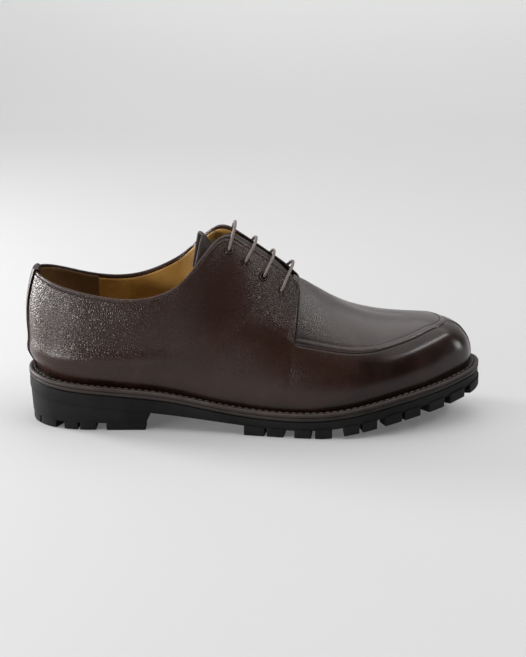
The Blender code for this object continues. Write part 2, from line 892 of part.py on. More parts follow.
def lace_object(name, route, collection, material):
    """A round cord along a smooth curve through the route's points."""
    lengths = np.concatenate([[0], np.cumsum(np.linalg.norm(np.diff(route, axis=0), axis=1))])
    smooth = natural_spline(lengths, route)
    points = [smooth(place) for place in np.linspace(0, lengths[-1], LACE_STATIONS)]
    curve = bpy.data.curves.new(name, "CURVE")
    curve.dimensions = "3D"
    curve.bevel_depth = LACE_DIAMETER / 2 * MM
    curve.bevel_resolution = 2
    curve.use_fill_caps = True
    spline = curve.splines.new("POLY")
    spline.points.add(len(points) - 1)
    for target, point in zip(spline.points, points):
        target.co = (*(point * MM), 1)
    curve.materials.append(material)
    made = bpy.data.objects.new(name, curve)
    collection.objects.link(made)
    return made


def centre_on_floor(parts):
    """Parents the parts to an empty that puts the middle of their box over the origin."""
    bpy.context.view_layer.update()
    corners = [part.matrix_world @ Vector(corner) for part in parts for corner in part.bound_box]
    corners = np.array(corners)
    middle = (corners.min(axis=0) + corners.max(axis=0)) / 2
    frame = bpy.data.objects.new("shoe_frame", None)
    bpy.context.scene.collection.objects.link(frame)
    frame.location = (-middle[0], -middle[1], 0)
    return frame


def main():
    clear_scene()
    shoe = collection_named("lace_up_shoe")
    cutters = collection_named("cutters")
    leather = material_named("leather", (0.045, 0.031, 0.026), 0.42)
    tongue_leather = material_named("tongue_leather", (0.04, 0.028, 0.022), 0.5)
    edge_leather = material_named("edge_leather", (0.068, 0.052, 0.047), 0.5)
    rubber = material_named("rubber", (0.02, 0.02, 0.02), 0.6)
    lining = material_named("lining_leather", (0.43, 0.21, 0.035), 0.6)
    waxed_cord = material_named("waxed_cord", (0.17, 0.13, 0.12), 0.55)

    angles = np.linspace(0, math.pi, SOLE_STATIONS)
    rubber_base = plan(EDGE_INSET, angles).between(rubber_top, rubber_bottom)
    outsole = mesh_object("outsole", rubber_base, shoe, rubber)
    add_boolean(outsole, "UNION", cutter_object("heel_block", heel_block(), cutters))
    add_boolean(outsole, "UNION", cutter_object("tread_lugs", joined(heel_lugs() + forefoot_lugs()), cutters))

    def welt_bottom(x):
        return welt_height(x) - WELT_THICKNESS

    midsole_plan = plan(0, angles)
    midsole = midsole_plan.between(lambda x: welt_bottom(x) - GAP, lambda x: rubber_top(x) + GAP)
    mesh_object("midsole", midsole, shoe, edge_leather)
    welt_width = WELT_MARGIN + WALL + 2 * GAP
    mesh_object("welt", ring_plan(0, welt_width).between(welt_height, welt_bottom), shoe, edge_leather)
    insole_plan = plan(welt_width + GAP, angles)
    insole = insole_plan.between(lambda x: welt_height(x) + INSOLE_ABOVE_WELT, welt_bottom)
    mesh_object("insole", insole, shoe, lining)

    upper = mesh_object("upper", upper_sheet().shell(WALL), shoe, leather)
    add_boolean(upper, "DIFFERENCE", cutter_object("lace_holes", eyelet_cutters(), cutters))
    mesh_object("tongue", tongue_solid(), shoe, tongue_leather)
    for number, bar in enumerate(zip(*EYELETS.values(), *LACE_BARS.values()), 1):
        lace_object(f"lace_bar_{number}", np.array(lace_route(*bar)), shoe, waxed_cord)

    frame = centre_on_floor(list(shoe.objects))
    for part in (*shoe.objects, *cutters.objects):
        part.parent = frame


if __name__ == "__main__":
    main()
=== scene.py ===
"""Looks of the right lace-up derby shoe: leather, lining, stitches, laces and sole around its solids.

Sizes are in millimetres in the shoe's own coordinates, as in the part's source, and become metres
in the row frame where a mesh is made: x runs from the heel to the toe, y is negative on the lateral
side and z is the height above the floor.
"""

import math

import bmesh
import bpy
import numpy as np
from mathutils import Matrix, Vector


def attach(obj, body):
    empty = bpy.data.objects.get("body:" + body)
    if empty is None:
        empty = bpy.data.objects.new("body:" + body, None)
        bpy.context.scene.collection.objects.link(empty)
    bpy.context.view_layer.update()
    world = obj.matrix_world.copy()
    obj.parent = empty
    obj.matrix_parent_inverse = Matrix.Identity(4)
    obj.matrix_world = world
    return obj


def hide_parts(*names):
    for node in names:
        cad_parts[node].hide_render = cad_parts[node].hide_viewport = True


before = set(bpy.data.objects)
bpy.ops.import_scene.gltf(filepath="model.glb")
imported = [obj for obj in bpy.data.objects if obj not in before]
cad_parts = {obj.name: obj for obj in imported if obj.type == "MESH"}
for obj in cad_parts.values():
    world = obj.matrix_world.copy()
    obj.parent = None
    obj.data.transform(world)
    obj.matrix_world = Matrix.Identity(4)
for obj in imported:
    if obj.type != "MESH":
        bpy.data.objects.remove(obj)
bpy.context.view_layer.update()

MM = 0.001
LATERAL = -1
MEDIAL = 1
SIDES = (LATERAL, MEDIAL)


def table(columns, *rows):
    """A small table: its columns by name, each an array with one value a row."""
    return dict(zip(columns.split(), np.array(rows, float).T))


# Sizes of the part
SOLE_BACK = -1
SOLE_LENGTH = 314
SOLE_THICKNESS = 17.6
WELT_MARGIN = 6.3
WELT_THICKNESS = 2.5
MIDSOLE_THICKNESS = 2.4
RUBBER_THICKNESS = 6.4
SHANK_EXTRA = 3.2
INSOLE_ABOVE_WELT = 2
WALL = 2.2
GAP = 0.3
THROAT_HALF_WIDTH = 9
EYELETS = table(
    "top_x from_edge",
    (139.5, 10),
    (151.5, 12),
    (164.5, 14.2),
    (176.5, 15.2),
)
TONGUE_THICKNESS = 2
TONGUE_SIDE = 0.74
TONGUE_GAP = 0.5
TONGUE_REACH = 11.5
TONGUE_WING_REACH = 0.6
LUG_DEPTH = 12
LUG_ROOT = 1
EDGE_INSET = 0.4
TREAD_INSET = -0.4
HEEL_BREAST_X = 86
HEEL_BREAST_SLOPE = 4
HEEL_INSET = 0.9
HEEL_TAPER = 1.2
HEEL_LUG_HEIGHT = 5
HEEL_BACK_LUG_X = 6
FOREFOOT_START_X = 149
BALL_X = 203
TOE_LUG_X = 305
CENTRE_LUG_LENGTH = 13
CENTRE_LUG_PITCH = 19
CENTRE_LUG_HALF_WIDTH = 13
HEEL_CENTRE_LUGS_X = (34, 56, 74)
FOREFOOT_CENTRE_START_X = 159
FOREFOOT_CENTRE_END_X = 285

# Half widths of the welt's outline on each side of the centre line
SOLE_OUTLINE = table(
    "x lateral medial",
    (-1, 0, 0),
    (9, 26, 25),
    (24, 35.5, 34.5),
    (50, 39.3, 38.3),
    (90, 39.3, 36.3),
    (130, 43.3, 35.3),
    (165, 49.8, 41.3),
    (200, 54.8, 51.3),
    (225, 54.8, 55.8),
    (250, 49, 54.5),
    (275, 38, 47.5),
    (296, 23, 36.5),
    (308, 11, 24.5),
    (313, -6.5, 6.5),
)

# Height of the welt's top: heel seat, shank, ball and toe spring
WELT_LINE = table(
    "x z",
    (-1, 37.2),
    (12, 35.2),
    (40, 32.2),
    (70, 29.4),
    (100, 25.9),
    (130, 20.6),
    (160, 17.3),
    (185, 16.7),
    (205, 17.9),
    (230, 22.1),
    (260, 28.2),
    (290, 33.5),
    (313, 38.8),
)

# Side sections from the welt to the collar and to the throat's edge
LATERAL_QUARTER = table(
    "foot_x top_x top_y top_z foot_out foot_up top_out top_down",
    (-1, 5, 0, 105, 5.6, 17, 9, 24.5),
    (9, 13, -14.5, 101, 5.8, 17, 7.8, 24),
    (25, 26, -24, 97.5, 6, 17, 6, 22),
    (50, 50, -30.5, 92.7, 6, 17, 5, 20),
    (80, 82, -34, 91.7, 5, 20, 3.5, 22),
    (100, 101, -33.3, 98, 4, 24, 4, 25),
    (115, 116.5, -28, 111.7, 3.5, 30, 6, 28),
    (127, 134, -12, 129.3, 3, 36, 16.5, 32),
    (137, 146, -9, 126.4, 3, 40, 16, 22),
    (150, 160, -9, 117.5, 3, 42, 16, 16),
    (164, 174.5, -9, 106.4, 3, 42, 16, 13),
)
MEDIAL_QUARTER = table(
    "foot_x top_x top_y top_z foot_out foot_up top_out top_down",
    (-1, 5, 0, 105, 5.6, 17, 9, 24.5),
    (9, 13, 14, 104, 5.8, 17, 7.8, 24),
    (25, 26, 23, 99.3, 6, 17, 6, 22),
    (50, 50, 29.5, 93.1, 6, 17, 5, 20),
    (80, 80, 32.2, 95, 5, 20, 3.5, 22),
    (100, 99, 31.5, 103.5, 4, 24, 4, 25),
    (115, 114, 27.5, 115.4, 3.5, 30, 6, 28),
    (127, 132, 12, 132.4, 3, 36, 16.5, 32),
    (137, 145, 9, 129, 3, 40, 16, 22),
    (150, 160, 9, 119, 3, 42, 16, 16),
    (164, 174.5, 9, 108, 3, 42, 16, 13),
)
QUARTERS = {LATERAL: LATERAL_QUARTER, MEDIAL: MEDIAL_QUARTER}

# Front sections from the welt over the apron seam to the ridge of the vamp
VAMP = table(
    "foot_x ridge_x ridge_y ridge_z foot_out foot_up top_out top_down seam_z",
    (178, 187.5, 1.5, 98, 2, 42, 24, 4, 61.5),
    (192, 197, 2, 92, 4, 36, 26, 2, 59.7),
    (208, 207, 2.5, 85.8, 5, 31, 28, 1, 57.6),
    (224, 217, 3, 80.3, 5, 28, 29, 0, 56),
    (240, 227, 3.6, 76.2, 5, 27, 30, 0, 56.4),
    (256, 237, 4.3, 73.2, 4.5, 25, 31, 0, 58.6),
    (272, 246.5, 5, 71.5, 3.5, 24, 33, 0, 61.4),
    (287, 254, 5.8, 70.6, 3, 22, 36, 0, 64.2),
    (301, 258, 6.5, 70.3, 2.5, 21, 39.5, 0, 65.8),
    (313, 258, 6.5, 70.3, 2, 20.5, 40, 0, 66.3),
)

# Ends of the edge lugs along the sole, the same on both sides
FOREFOOT_LUGS = table(
    "start end",
    (149, 163),
    (164.5, 176),
    (183, 194.5),
    (197, 208.5),
    (216.5, 227),
    (229, 239),
    (244.5, 256),
    (258, 269),
    (275, 286),
    (290, 301),
)
HEEL_LUGS = table(
    "start end",
    (7, 19),
    (25, 35),
    (36.5, 48),
    (55, 82),
)

# Looks of the upper
LEATHER = 1.5
FOOT_SINK = 1.4
FACING_LIFT = 1.4
FACING_REACH = 0.16
FACING_STITCHES = (1.7, 3.5)
FACING_STITCH_START = 0.04
COLLAR_STITCH = 1.6
TACK_DISTANCES = (1.5, 2.1, 2.7, 3.3, 3.9)
TACK_SHARES = (0.02, 0.13)
HOLE_RADIUS = 2.0
HOLE_CLEAR = 3.0
SEAM_TUCK = (0.8, 1.8)
SEAM_GROOVE = 0.65
TOE_SEAM_ABOVE = 0.5
APRON_THICKNESS = 1.3
APRON_BACK = 0.035
APRON_BACK_SINK = 0.3
RIM_STITCH = 4.4
RIM_STITCH_START = 3
CREASE_REACH = 0.4
STRIP_TOP_WIDTH = 9.5
STRIP_FOOT_WIDTH = 5
STRIP_LIFT = 0.55
STRIP_THICKNESS = 0.8
STRIP_INSIDE = 10
STRIP_LINING_GAP = 0.5
JUST_BELOW_TOP = 0.99
OUTLINE_PER_RADIAN = 72
LINING = 0.6
LINING_GAP = 0.1
LINING_BELOW_COLLAR = 2.4
LINING_FOOT = 0.01
LINING_OVERLAP = 0.02
LINING_FRONT_SINK = 0.8
HEEL_LINING = 0.4
HEEL_LINING_OUT = 0.05
HEEL_LINING_BELOW_COLLAR = 1.0
HEEL_LINING_X = 46
TONGUE_PULL = 3
TONGUE_UNDER_APRON = 0.02
TONGUE_TOP_AHEAD = 1
LACE_DIAMETER = 2.1

# Humps over the leather: height, place and width
HEEL_SWELL = (2.2, 49.5, 6.5)
TOE_SWELL = (0.7, 8, 5)
COLLAR_DIP = (-0.5, COLLAR_STITCH, 0.5)
COLLAR_RIDGE = (0.2, 2.7, 0.6)
FACING_DIP = (-0.22, FACING_STITCHES[0], 0.5)
# The facing groove's hump also darkens the apron's colour: a painted shadow line
FACING_GROOVE_AND_SHADOW = (-0.8, 0.3, 0.9)
TOE_SEAM_RIDGE = (0.9, 0, 1.3)
TOE_SEAM_CUT = (-0.675, 0, 0.35)

# Soft rises from 0 to 1: start and length
FACING_FADE = (0, 26)
FACING_RISE = (0, 7 / 60)
FACING_GROOVE_RISE = (1, 4)
HEEL_SWELL_FADE = (70, 50)
TOE_SWELL_RISE = (50, 40)
SEAM_GROOVE_FADE = (-0.2, 1.6)
RIM_RISE = (0, 6)
APRON_BACK_RISE = (-3, 3)
STRIP_TURN_IN = (0, 3)

# Strength of the grain, its humps and its rises
SIDE_GRAIN = 0.12
HEEL_GRAIN = 0.2
HEEL_GRAIN_FADE = (40, 120)
FACING_GRAIN = (0.9, 0, 30)
FACING_GRAIN_RISE = (62, 30)
FRONT_GRAIN = 0.02
BALL_GRAIN = 0.14
BALL_GRAIN_FADE = (0, 70)
FOOT_GRAIN_SHARE = 0.08
FOOT_GRAIN_RISE = (9, 18)
APRON_GRAIN = 0.1
THROAT_GRAIN = (0.25, 0, 32)
THROAT_GRAIN_RISE = (2, 8)
STRIP_GRAIN = 0.2
TONGUE_GRAIN = 0.6

# Shade, lighter above 0 and darker below, its humps and its rises, and the apron's dark corner.
# A painted highlight along the edges, and painted shade above the welt, towards the toe, in the lace holes,
# in the apron's corner and along the sole towards the toe; the apron, strip, welt and midsole values are
# their own tones.
EDGE_PAINTED_HIGHLIGHT = (0.4, 0, 1)
EDGE_HIGHLIGHT_LOW_END = 9
FOOT_PAINTED_SHADE = (-0.5, 0, 4)
TOE_PAINTED_SHADE = -0.3
TOE_PAINTED_SHADE_RISE = (0, 60)
HOLE_PAINTED_SHADE = -0.1
APRON_SHADE = 0.1
CORNER_PAINTED_SHADE = -0.5
CORNER_AHEAD = 55
CORNER_BESIDE = 40
STRIP_SHADE = 0.05
WELT_SHADE = 0.06
MIDSOLE_SHADE = -0.1
SOLE_PAINTED_SHADE = -0.3
SOLE_PAINTED_SHADE_RISE = (140, 130)

# Pebbles of the leather, in metres, their wobble as scale and amount, and the braid of the laces
PEBBLE_SIZE = 0.0015
PEBBLE_HEIGHT = 0.0005
PEBBLE_BORDER = 0.3
PEBBLE_WOBBLE = (300, 0.0005)
CLOUD_CONTRAST = 0.9
CLOUD_ROUGHNESS = 0.12
VALLEY_DARKNESS = 0.6
VALLEY_ROUGHNESS = 0.15
BRAID_PITCH = 1.9
BRAID_STRANDS = 4.0

# Steps of the grids, each small step with its reach, and numbers of points
SIDE_STEP = 1.5
APRON_STEP = 1.1
FACING_STEP = (0.4, 14)
FRONT_STEP = (0.5, 10)
TOE_STEP = (0.25, 7)
APRON_FINE_PLACE = 9
APRON_ROWS = 44
LINING_COLUMNS = 90
LINING_FRONT_COLUMNS = 60
LINING_ROWS = 40
TONGUE_ROWS = 44
TONGUE_END_ROWS = 24
TONGUE_WING_POINTS = 16
TONGUE_ARC_POINTS = 12
STRIP_COLUMNS = 31
LACE_POINTS = 160
LACE_SIDES = 20
STITCH_RINGS = 7
STITCH_SIDES = 6
WELT_STEPS = 220
WELT_STITCH_STEPS = 300
PLATE_STEPS = 200
HEEL_STEPS = 40
LUG_STEPS = 5
ROUND_LUG_STEPS = 8
SAMPLES = 2000
SECTION_SAMPLES = 400
HALVINGS = 40
WELD_DISTANCE = 0.002

# Stitches: distance from one to the next, length, and thickness of half the thread
STITCH_SIZES = {
    "collar_stitches": (2.1, 1.7, 0.26),
    "facing_stitches": (2.0, 1.6, 0.26),
    "bar_tacks": (1.1, 1.2, 0.24),
    "apron_stitches": (2.3, 1.9, 0.28),
    "welt_stitches": (4.6, 3.7, 0.42),
}
STITCH_SINK = 0.1
STITCH_RISE = 1.1
STITCH_TAPER = 0.85
STITCH_AIM = 0.5
WELT_STITCH_INSET = 4.1
WELT_STITCH_DEPTH = 0.65
WELT_STITCH_SINK = 0.05

# Looks of the sole
LUG_BEVEL = 0.7
LUG_BEVEL_ANGLE = 0.6
LUG_BEVEL_PROFILE = 0.6
RUBBER_OUT = 0.2

# The facing's front edge against its straight line: share of the way up, and shift to the front
FACING_EDGE = table(
    "share forward",
    (0, 0),
    (0.15, 0.2),
    (0.3, 0.2),
    (0.5, -0.3),
    (0.75, -0.85),
    (0.9, -0.9),
    (0.96, -1.4),
    (1, -3),
)

# How deep the tongue lies: distance past the facing's top end, and depth under the facing
TONGUE_PROFILE = table(
    "beyond sink",
    (-70, 0),
    (-25, 0.3),
    (-14, 1.5),
    (-8, 3.5),
    (-3, 6.5),
    (1, 10),
    (4, 12.5),
    (6, 12.8),
    (8, 11.4),
    (10, 9.2),
    (11.5, 8),
)

# The lace bars: how far the middle leans to the toe, and how far it follows the line of its ends
LACE_BARS = table(
    "lean pull",
    (1.4, 6.2),
    (3.2, 3.8),
    (2.8, 2.8),
    (2.0, 4.4),
)

# A lace's end: share of the way from the throat's edge down to the hole, and height above the leather
LACE_END = ((1, -4.2), (1, -1.6), (0.97, 0.3), (0.82, 1.0), (0.5, 1.05), (0.2, 1.1), (0.04, 1.3))

# Rings around a lace hole: share of the way out to the grid, and dip
HOLE_RINGS = ((0.5, 0.0), (0.15, 0.0), (0.0, 0.1))

# The raised rim of the apron: distance from the seam, and height
RIM_PROFILE = table(
    "distance lift",
    (0, -0.5),
    (0.5, 0.15),
    (1.1, 0.4),
    (2.1, 0.5),
    (3.1, 0.45),
    (3.9, 0.25),
    (4.4, 0.05),
    (4.9, 0.15),
    (6.2, 0.25),
)

# Soft creases of the apron: both ends as distance ahead of the facing and from the seam, depth, width
APRON_CREASES = table(
    "ahead_1 beside_1 ahead_2 beside_2 depth width",
    (1, 27, 24, 24, 0.08, 1.8),
    (4, 22.5, 30, 19, 0.1, 1.7),
    (1, 19, 22, 16, 0.09, 1.5),
    (8, 14.5, 36, 11.5, 0.1, 1.6),
    (2, 12, 20, 10, 0.07, 1.5),
)

# Soft creases of the lateral side: both ends as x and z, depth, width
SIDE_CREASES = table(
    "x_1 z_1 x_2 z_2 depth width",
    (209, 54, 214, 33, 0.11, 2.6),
    (217, 52, 222, 38, 0.13, 2.4),
    (228, 50, 230, 40, 0.08, 2.6),
)

# Section of the welt: distance in from the outline, height above the welt's top, and shade: a painted
# highlight on the rounded outer edge, and painted shade in the channel, under the upper and below the edge
WELT_SECTION = table(
    "inset height shade",
    (0.3, -2.5, -0.2),
    (0.1, -2.2, -0.1),
    (0, -1.2, 0.0),
    (0.25, -0.55, 0.15),
    (0.9, -0.08, 0.45),
    (1.6, 0, 0.3),
    (2.2, -0.05, -0.1),
    (2.7, -0.4, -0.4),
    (3.7, -0.7, -0.5),
    (4.8, -0.7, -0.5),
    (5.4, -0.5, -0.5),
    (9, -0.5, -0.5),
    (9, -2.5, -0.5),
)
MIDSOLE_PROFILE = table(
    "inset share",
    (0.3, 0),
    (0.1, 0.08),
    (0.1, 0.5),
    (0.3, 0.8),
    (0.8, 1),
)
EDGE_PROFILE = table(
    "inset share",
    (1.1, 0),
    (0.45, 0.06),
    (0.2, 0.25),
    (0.2, 0.75),
    (0.45, 0.94),
    (1.1, 1),
)

# Layers of the heel from its top to its rounded lower edge: share of the way down, and inset
HEEL_LAYERS = table(
    "share inset",
    (0, 0),
    (0.5, 0),
    (0.93, 0),
    (0.98, 0.25),
    (1, 0.8),
)

# Stage and lights, in metres in the row frame apart from the camera
CAMERA_TARGET = (162, 0, 61.7)
CAMERA_PITCH = 16.2
CAMERA_DISTANCE = 1180
CAMERA_LENS = 93.15
BACKDROP_Y = 1.2
BACKDROP_RADIUS = 1.0
BACKDROP_REACH = 5.0
BACKDROP_FRONT = -8.0
BACKDROP_GLOW = 0.105
BACKDROP_RISE = 0.3
BACKDROP_COLOUR = (0.56, 0.56, 0.56)
FLOOR_COLOURS = ((0.45, 0.45, 0.45), (0.465, 0.465, 0.465))
WORLD_AXIS = (0.0, 0.8, 0.6)
WORLD_RANGE = (0.3, 0.9)
WORLD_LEVELS = (0.05, 0.6)
SHOE_MIDDLE = (0.0, 0.0, 0.06)

# Lights: name, place, target, width, height and power
LIGHTS = (
    ("top_box", (0.1, 0.1, 1.5), SHOE_MIDDLE, 2.2, 2.6, 21.5),
    ("left_box", (-1.0, 0.4, 0.3), SHOE_MIDDLE, 0.35, 0.45, 15),
    ("left_front_box", (-1.1, -0.75, 0.26), SHOE_MIDDLE, 1.1, 0.14, 13),
    ("right_box", (1.3, 0.05, 0.2), SHOE_MIDDLE, 0.3, 0.3, 2.1),
    ("right_front_box", (1.15, -0.4, 1.15), SHOE_MIDDLE, 1.1, 0.25, 9),
    ("wall_box", (0.0, 1.5, 1.3), (0.0, 2.0, 0.7), 3.0, 0.5, 16),
)


def unit(vectors):
    """Vectors scaled to length 1. A vector of no length stays as it is."""
    length = np.linalg.norm(vectors, axis=-1, keepdims=True)
    return vectors / np.where(length > 1e-12, length, 1)


def smooth_ramp(value):
    """Rises softly from 0 to 1 as value goes from 0 to 1."""
    value = np.clip(value, 0, 1)
    return value * value * (3 - 2 * value)


def rise(value, start, length):
    """0 up to the start, then softly up to 1 over the length."""
    return smooth_ramp((value - start) / length)


def hump(value, height, place, width):
    """A smooth hump, or a dip where its height is below 0."""
    return height * np.exp(-(((value - place) / width) ** 2))


def natural_spline(knots, values):
    """The natural cubic spline through values, one row for each knot, as a function."""
    knots = np.asarray(knots, float)
    values = np.asarray(values, float)
    steps = np.diff(knots)
    slopes = (np.diff(values, axis=0).T / steps).T
    matrix = np.eye(len(knots))
    right = np.zeros_like(values)
    for i in range(1, len(knots) - 1):
        matrix[i, i - 1 : i + 2] = steps[i - 1], 2 * (steps[i - 1] + steps[i]), steps[i]
        right[i] = 6 * (slopes[i] - slopes[i - 1])
    bends = np.linalg.solve(matrix, right)

    def value_at(place):
        place = np.asarray(place, float)
        i = np.clip(np.searchsorted(knots, place) - 1, 0, len(knots) - 2)
        step = steps[i]
        ahead = (place - knots[i]) / step
        if values.ndim > 1:
            step = step[..., None]
            ahead = ahead[..., None]
        back = 1 - ahead
        bend = (back**3 - back) * bends[i] + (ahead**3 - ahead) * bends[i + 1]
        return back * values[i] + ahead * values[i + 1] + bend * step * step / 6

    return value_at


def spline_over_toe(angles, values):
    """A spline through values that runs on the same over the toe, so that it is smooth there."""
    values = np.asarray(values, float)
    mirrored = 2 * math.pi - np.asarray(angles)[-2::-1]
    return natural_spline([*angles, *mirrored], np.concatenate([values, values[-2::-1]]))


def spaced(start, end, step, *fine):
    """Values from start to end in steps, smaller near each fine place (place, step there, reach)."""
    places = np.linspace(start, end, 2 * SAMPLES)
    steps = np.full(len(places), float(step))
    for place, small, reach in fine:
        near = small + (step - small) * np.clip(np.abs(places - place) / reach, 0, 1)
        steps = np.minimum(steps, near)
    counts = np.concatenate([[0], np.cumsum(np.diff(places) * 2 / (steps[1:] + steps[:-1]))])
    wanted = np.linspace(0, counts[-1], math.ceil(counts[-1]) + 1)
    return np.interp(wanted, counts, places)


# The shoe's surfaces, as in the part's source


def angle_of(x):
    """Places on the outline are angles: 0 at the back, pi at the toe, so that both ends are round."""
    return np.arccos(np.clip(1 - 2 * (np.asarray(x, float) - SOLE_BACK) / SOLE_LENGTH, -1, 1))


OUTLINE_ANGLES = angle_of(SOLE_OUTLINE["x"])
HALF_WIDTH = {
    LATERAL: natural_spline(OUTLINE_ANGLES, SOLE_OUTLINE["lateral"]),
    MEDIAL: natural_spline(OUTLINE_ANGLES, SOLE_OUTLINE["medial"]),
}
welt_height = natural_spline(WELT_LINE["x"], WELT_LINE["z"])


def outward(side, angle):
    """The outline's horizontal normal."""
    nudge = 1e-4
    angle = np.asarray(angle, float)
    low = np.maximum(angle - nudge, 0)
    high = np.minimum(angle + nudge, math.pi)
    across = side * (HALF_WIDTH[side](high) - HALF_WIDTH[side](low)) / (high - low)
    along = SOLE_LENGTH / 2 * np.sin(angle)
    return unit(np.stack([across, -along, np.zeros_like(across)], -1) * -side)


def outline(side, angle, inset=0.0):
    """Points of the sole's outline at the welt's top, moved in by inset."""
    angle = np.asarray(angle, float)
    x = SOLE_BACK + SOLE_LENGTH / 2 * (1 - np.cos(angle))
    point = np.stack([x, side * HALF_WIDTH[side](angle), np.zeros_like(x)], -1)
    point = point - outward(side, angle) * np.asarray(inset, float)[..., None]
    point[..., 2] = welt_height(point[..., 0])
    return point


def bezier(points, place):
    """Points of the cubic curves with these four control points."""
    place = np.asarray(place, float)[..., None]
    back = 1 - place
    first = back**3 * points[0] + 3 * back**2 * place * points[1]
    return first + 3 * back * place**2 * points[2] + place**3 * points[3]


def front_part(points, place):
    """The control points of the curve's part before place."""
    first = [a + (b - a) * place for a, b in zip(points, points[1:])]
    second = [a + (b - a) * place for a, b in zip(first, first[1:])]
    return points[0], first[0], second[0], bezier(points, place)


def place_where(curve, reached):
    """The places along sections where reached turns true."""
    low = np.zeros(curve[0].shape[:-1])
    high = np.ones(curve[0].shape[:-1])
    for _ in range(HALVINGS):
        middle = (low + high) / 2
        past = reached(bezier(curve, middle))
        high = np.where(past, middle, high)
        low = np.where(past, low, middle)
    return high


def section_points(side, angle, top, pulls, least_forward=-1):
    """The control points of sections between the welt and their tops."""
    foot = outline(side, angle, WELT_MARGIN)
    foot[..., 2] += GAP
    normal = outward(side, angle)
    top_normal = np.maximum(normal, (least_forward, -1, -1))
    up = np.array((0.0, 0.0, 1.0))
    foot_out, foot_up, top_out, top_down = np.moveaxis(np.asarray(pulls, float)[..., None], -2, 0)
    near_foot = foot + normal * foot_out + up * foot_up
    near_top = top + top_normal * top_out - up * top_down
    return foot, near_foot, near_top, top


VAMP_ANGLES = angle_of(VAMP["foot_x"])
FACING_ANGLE = float(VAMP_ANGLES[0])
TOE_FAN_ANGLE = float(VAMP_ANGLES[-2])
RIDGE = ("ridge_x", "ridge_y", "ridge_z")
PULLS = ("foot_out", "foot_up", "top_out", "top_down")
vamp_ridge = spline_over_toe(VAMP_ANGLES, np.column_stack([VAMP[c] for c in RIDGE]))
vamp_pulls = spline_over_toe(VAMP_ANGLES, np.column_stack([VAMP[c] for c in PULLS]))
seam_height = spline_over_toe(VAMP_ANGLES, VAMP["seam_z"])


def vamp_section(side, angle):
    """Control points of front sections, from the welt to the ridge. The toe's share the ridge's end."""
    angle = np.asarray(angle, float)
    ridge = vamp_ridge(np.where(angle > TOE_FAN_ANGLE, math.pi, angle))
    return section_points(side, angle, ridge, vamp_pulls(angle), least_forward=0)


def vamp_point(side, angle, place):
    return bezier(vamp_section(side, angle), place)


def seam_place(side, angle):
    """Where the apron's seam crosses front sections."""
    heights = seam_height(angle)
    return place_where(vamp_section(side, angle), lambda point: point[..., 2] > heights)


def throat_place(side):
    """Where the throat's edge cuts the section along the facing's front edge."""
    curve = vamp_section(side, FACING_ANGLE)
    return float(place_where(curve, lambda point: side * point[..., 1] < THROAT_HALF_WIDTH))


THROAT_PLACE = {side: throat_place(side) for side in SIDES}


def quarter_controls(side):
    """The outline's angles of the side's rows, and each row's control points above the foot."""
    rows = QUARTERS[side]
    angles = angle_of(rows["foot_x"])
    tops = np.column_stack([rows[c] for c in ("top_x", "top_y", "top_z")])
    sections = section_points(side, angles, tops, np.column_stack([rows[c] for c in PULLS]))
    last = front_part(vamp_section(side, FACING_ANGLE), THROAT_PLACE[side])
    foot, near_foot, near_top, top = (np.vstack([a, b]) for a, b in zip(sections, last))
    return np.append(angles, FACING_ANGLE), np.hstack([near_foot - foot, near_top, top])


def quarter_function(side):
    """Control points of the side sections as a function of the outline's angle, smooth over the heel."""
    angles, controls = quarter_controls(side)
    other_angles, other_controls = quarter_controls(-side)
    knots = np.concatenate([-other_angles[:0:-1], angles])
    control_at = natural_spline(knots, np.concatenate([other_controls[:0:-1], controls]))

    def section(angle):
        angle = np.asarray(angle, float)
        foot = outline(side, angle, WELT_MARGIN)
        foot[..., 2] += GAP
        pull, near_top, top = np.split(control_at(angle), 3, axis=-1)
        return foot, foot + pull, near_top, top

    return section


QUARTER_SECTION = {side: quarter_function(side) for side in SIDES}


def quarter_point(side, angle, place):
    return bezier(QUARTER_SECTION[side](angle), place)


def side_normal(side, angle, place):
    """The outward normal of a side's surface."""
    nudge = 1e-3
    point = quarter_point(side, angle, place)
    along = point - quarter_point(side, angle - nudge, place)
    upward = point - quarter_point(side, angle, place - nudge)
    return unit(np.cross(along, upward) * -side)


def side_point(side, angle, place, lift=0.0):
    """Points of the side's surface, lifted along its normal."""
    normal = side_normal(side, angle, place)
    return quarter_point(side, angle, place) + normal * np.asarray(lift, float)[..., None]


def station_of_top(side, top_x):
    """The outline's angle of the side section whose top is at this x."""
    low, high = float(angle_of(QUARTERS[side]["foot_x"][-5])), FACING_ANGLE
    for _ in range(HALVINGS):
        middle = (low + high) / 2
        if QUARTER_SECTION[side](middle)[3][0] > top_x:
            high = middle
        else:
            low = middle
    return high


def place_from_top(side, angle, distance):
    """The place on a side section at this distance below its top."""
    curve = QUARTER_SECTION[side](angle)
    return float(place_where(curve, lambda point: np.linalg.norm(point - curve[3], axis=-1) < distance))


# Meshes


def row_frame_shift():
    """Where the shoe's own origin lies in the row frame, from the midsole's toe."""
    midsole = bpy.data.objects["midsole"]
    corners = [midsole.matrix_world @ vertex.co for vertex in midsole.data.vertices]
    toe = max(corners, key=lambda corner: corner.x)
    shoe_toe = outline(LATERAL, math.pi)
    return np.array((toe.x - shoe_toe[0] * MM, toe.y - shoe_toe[1] * MM, 0.0))


SHIFT = row_frame_shift()


def in_row_frame(points):
    return np.asarray(points, float) * MM + SHIFT


def add_object(name, data):
    item = bpy.data.objects.new(name, data)
    bpy.context.scene.collection.objects.link(item)
    return item


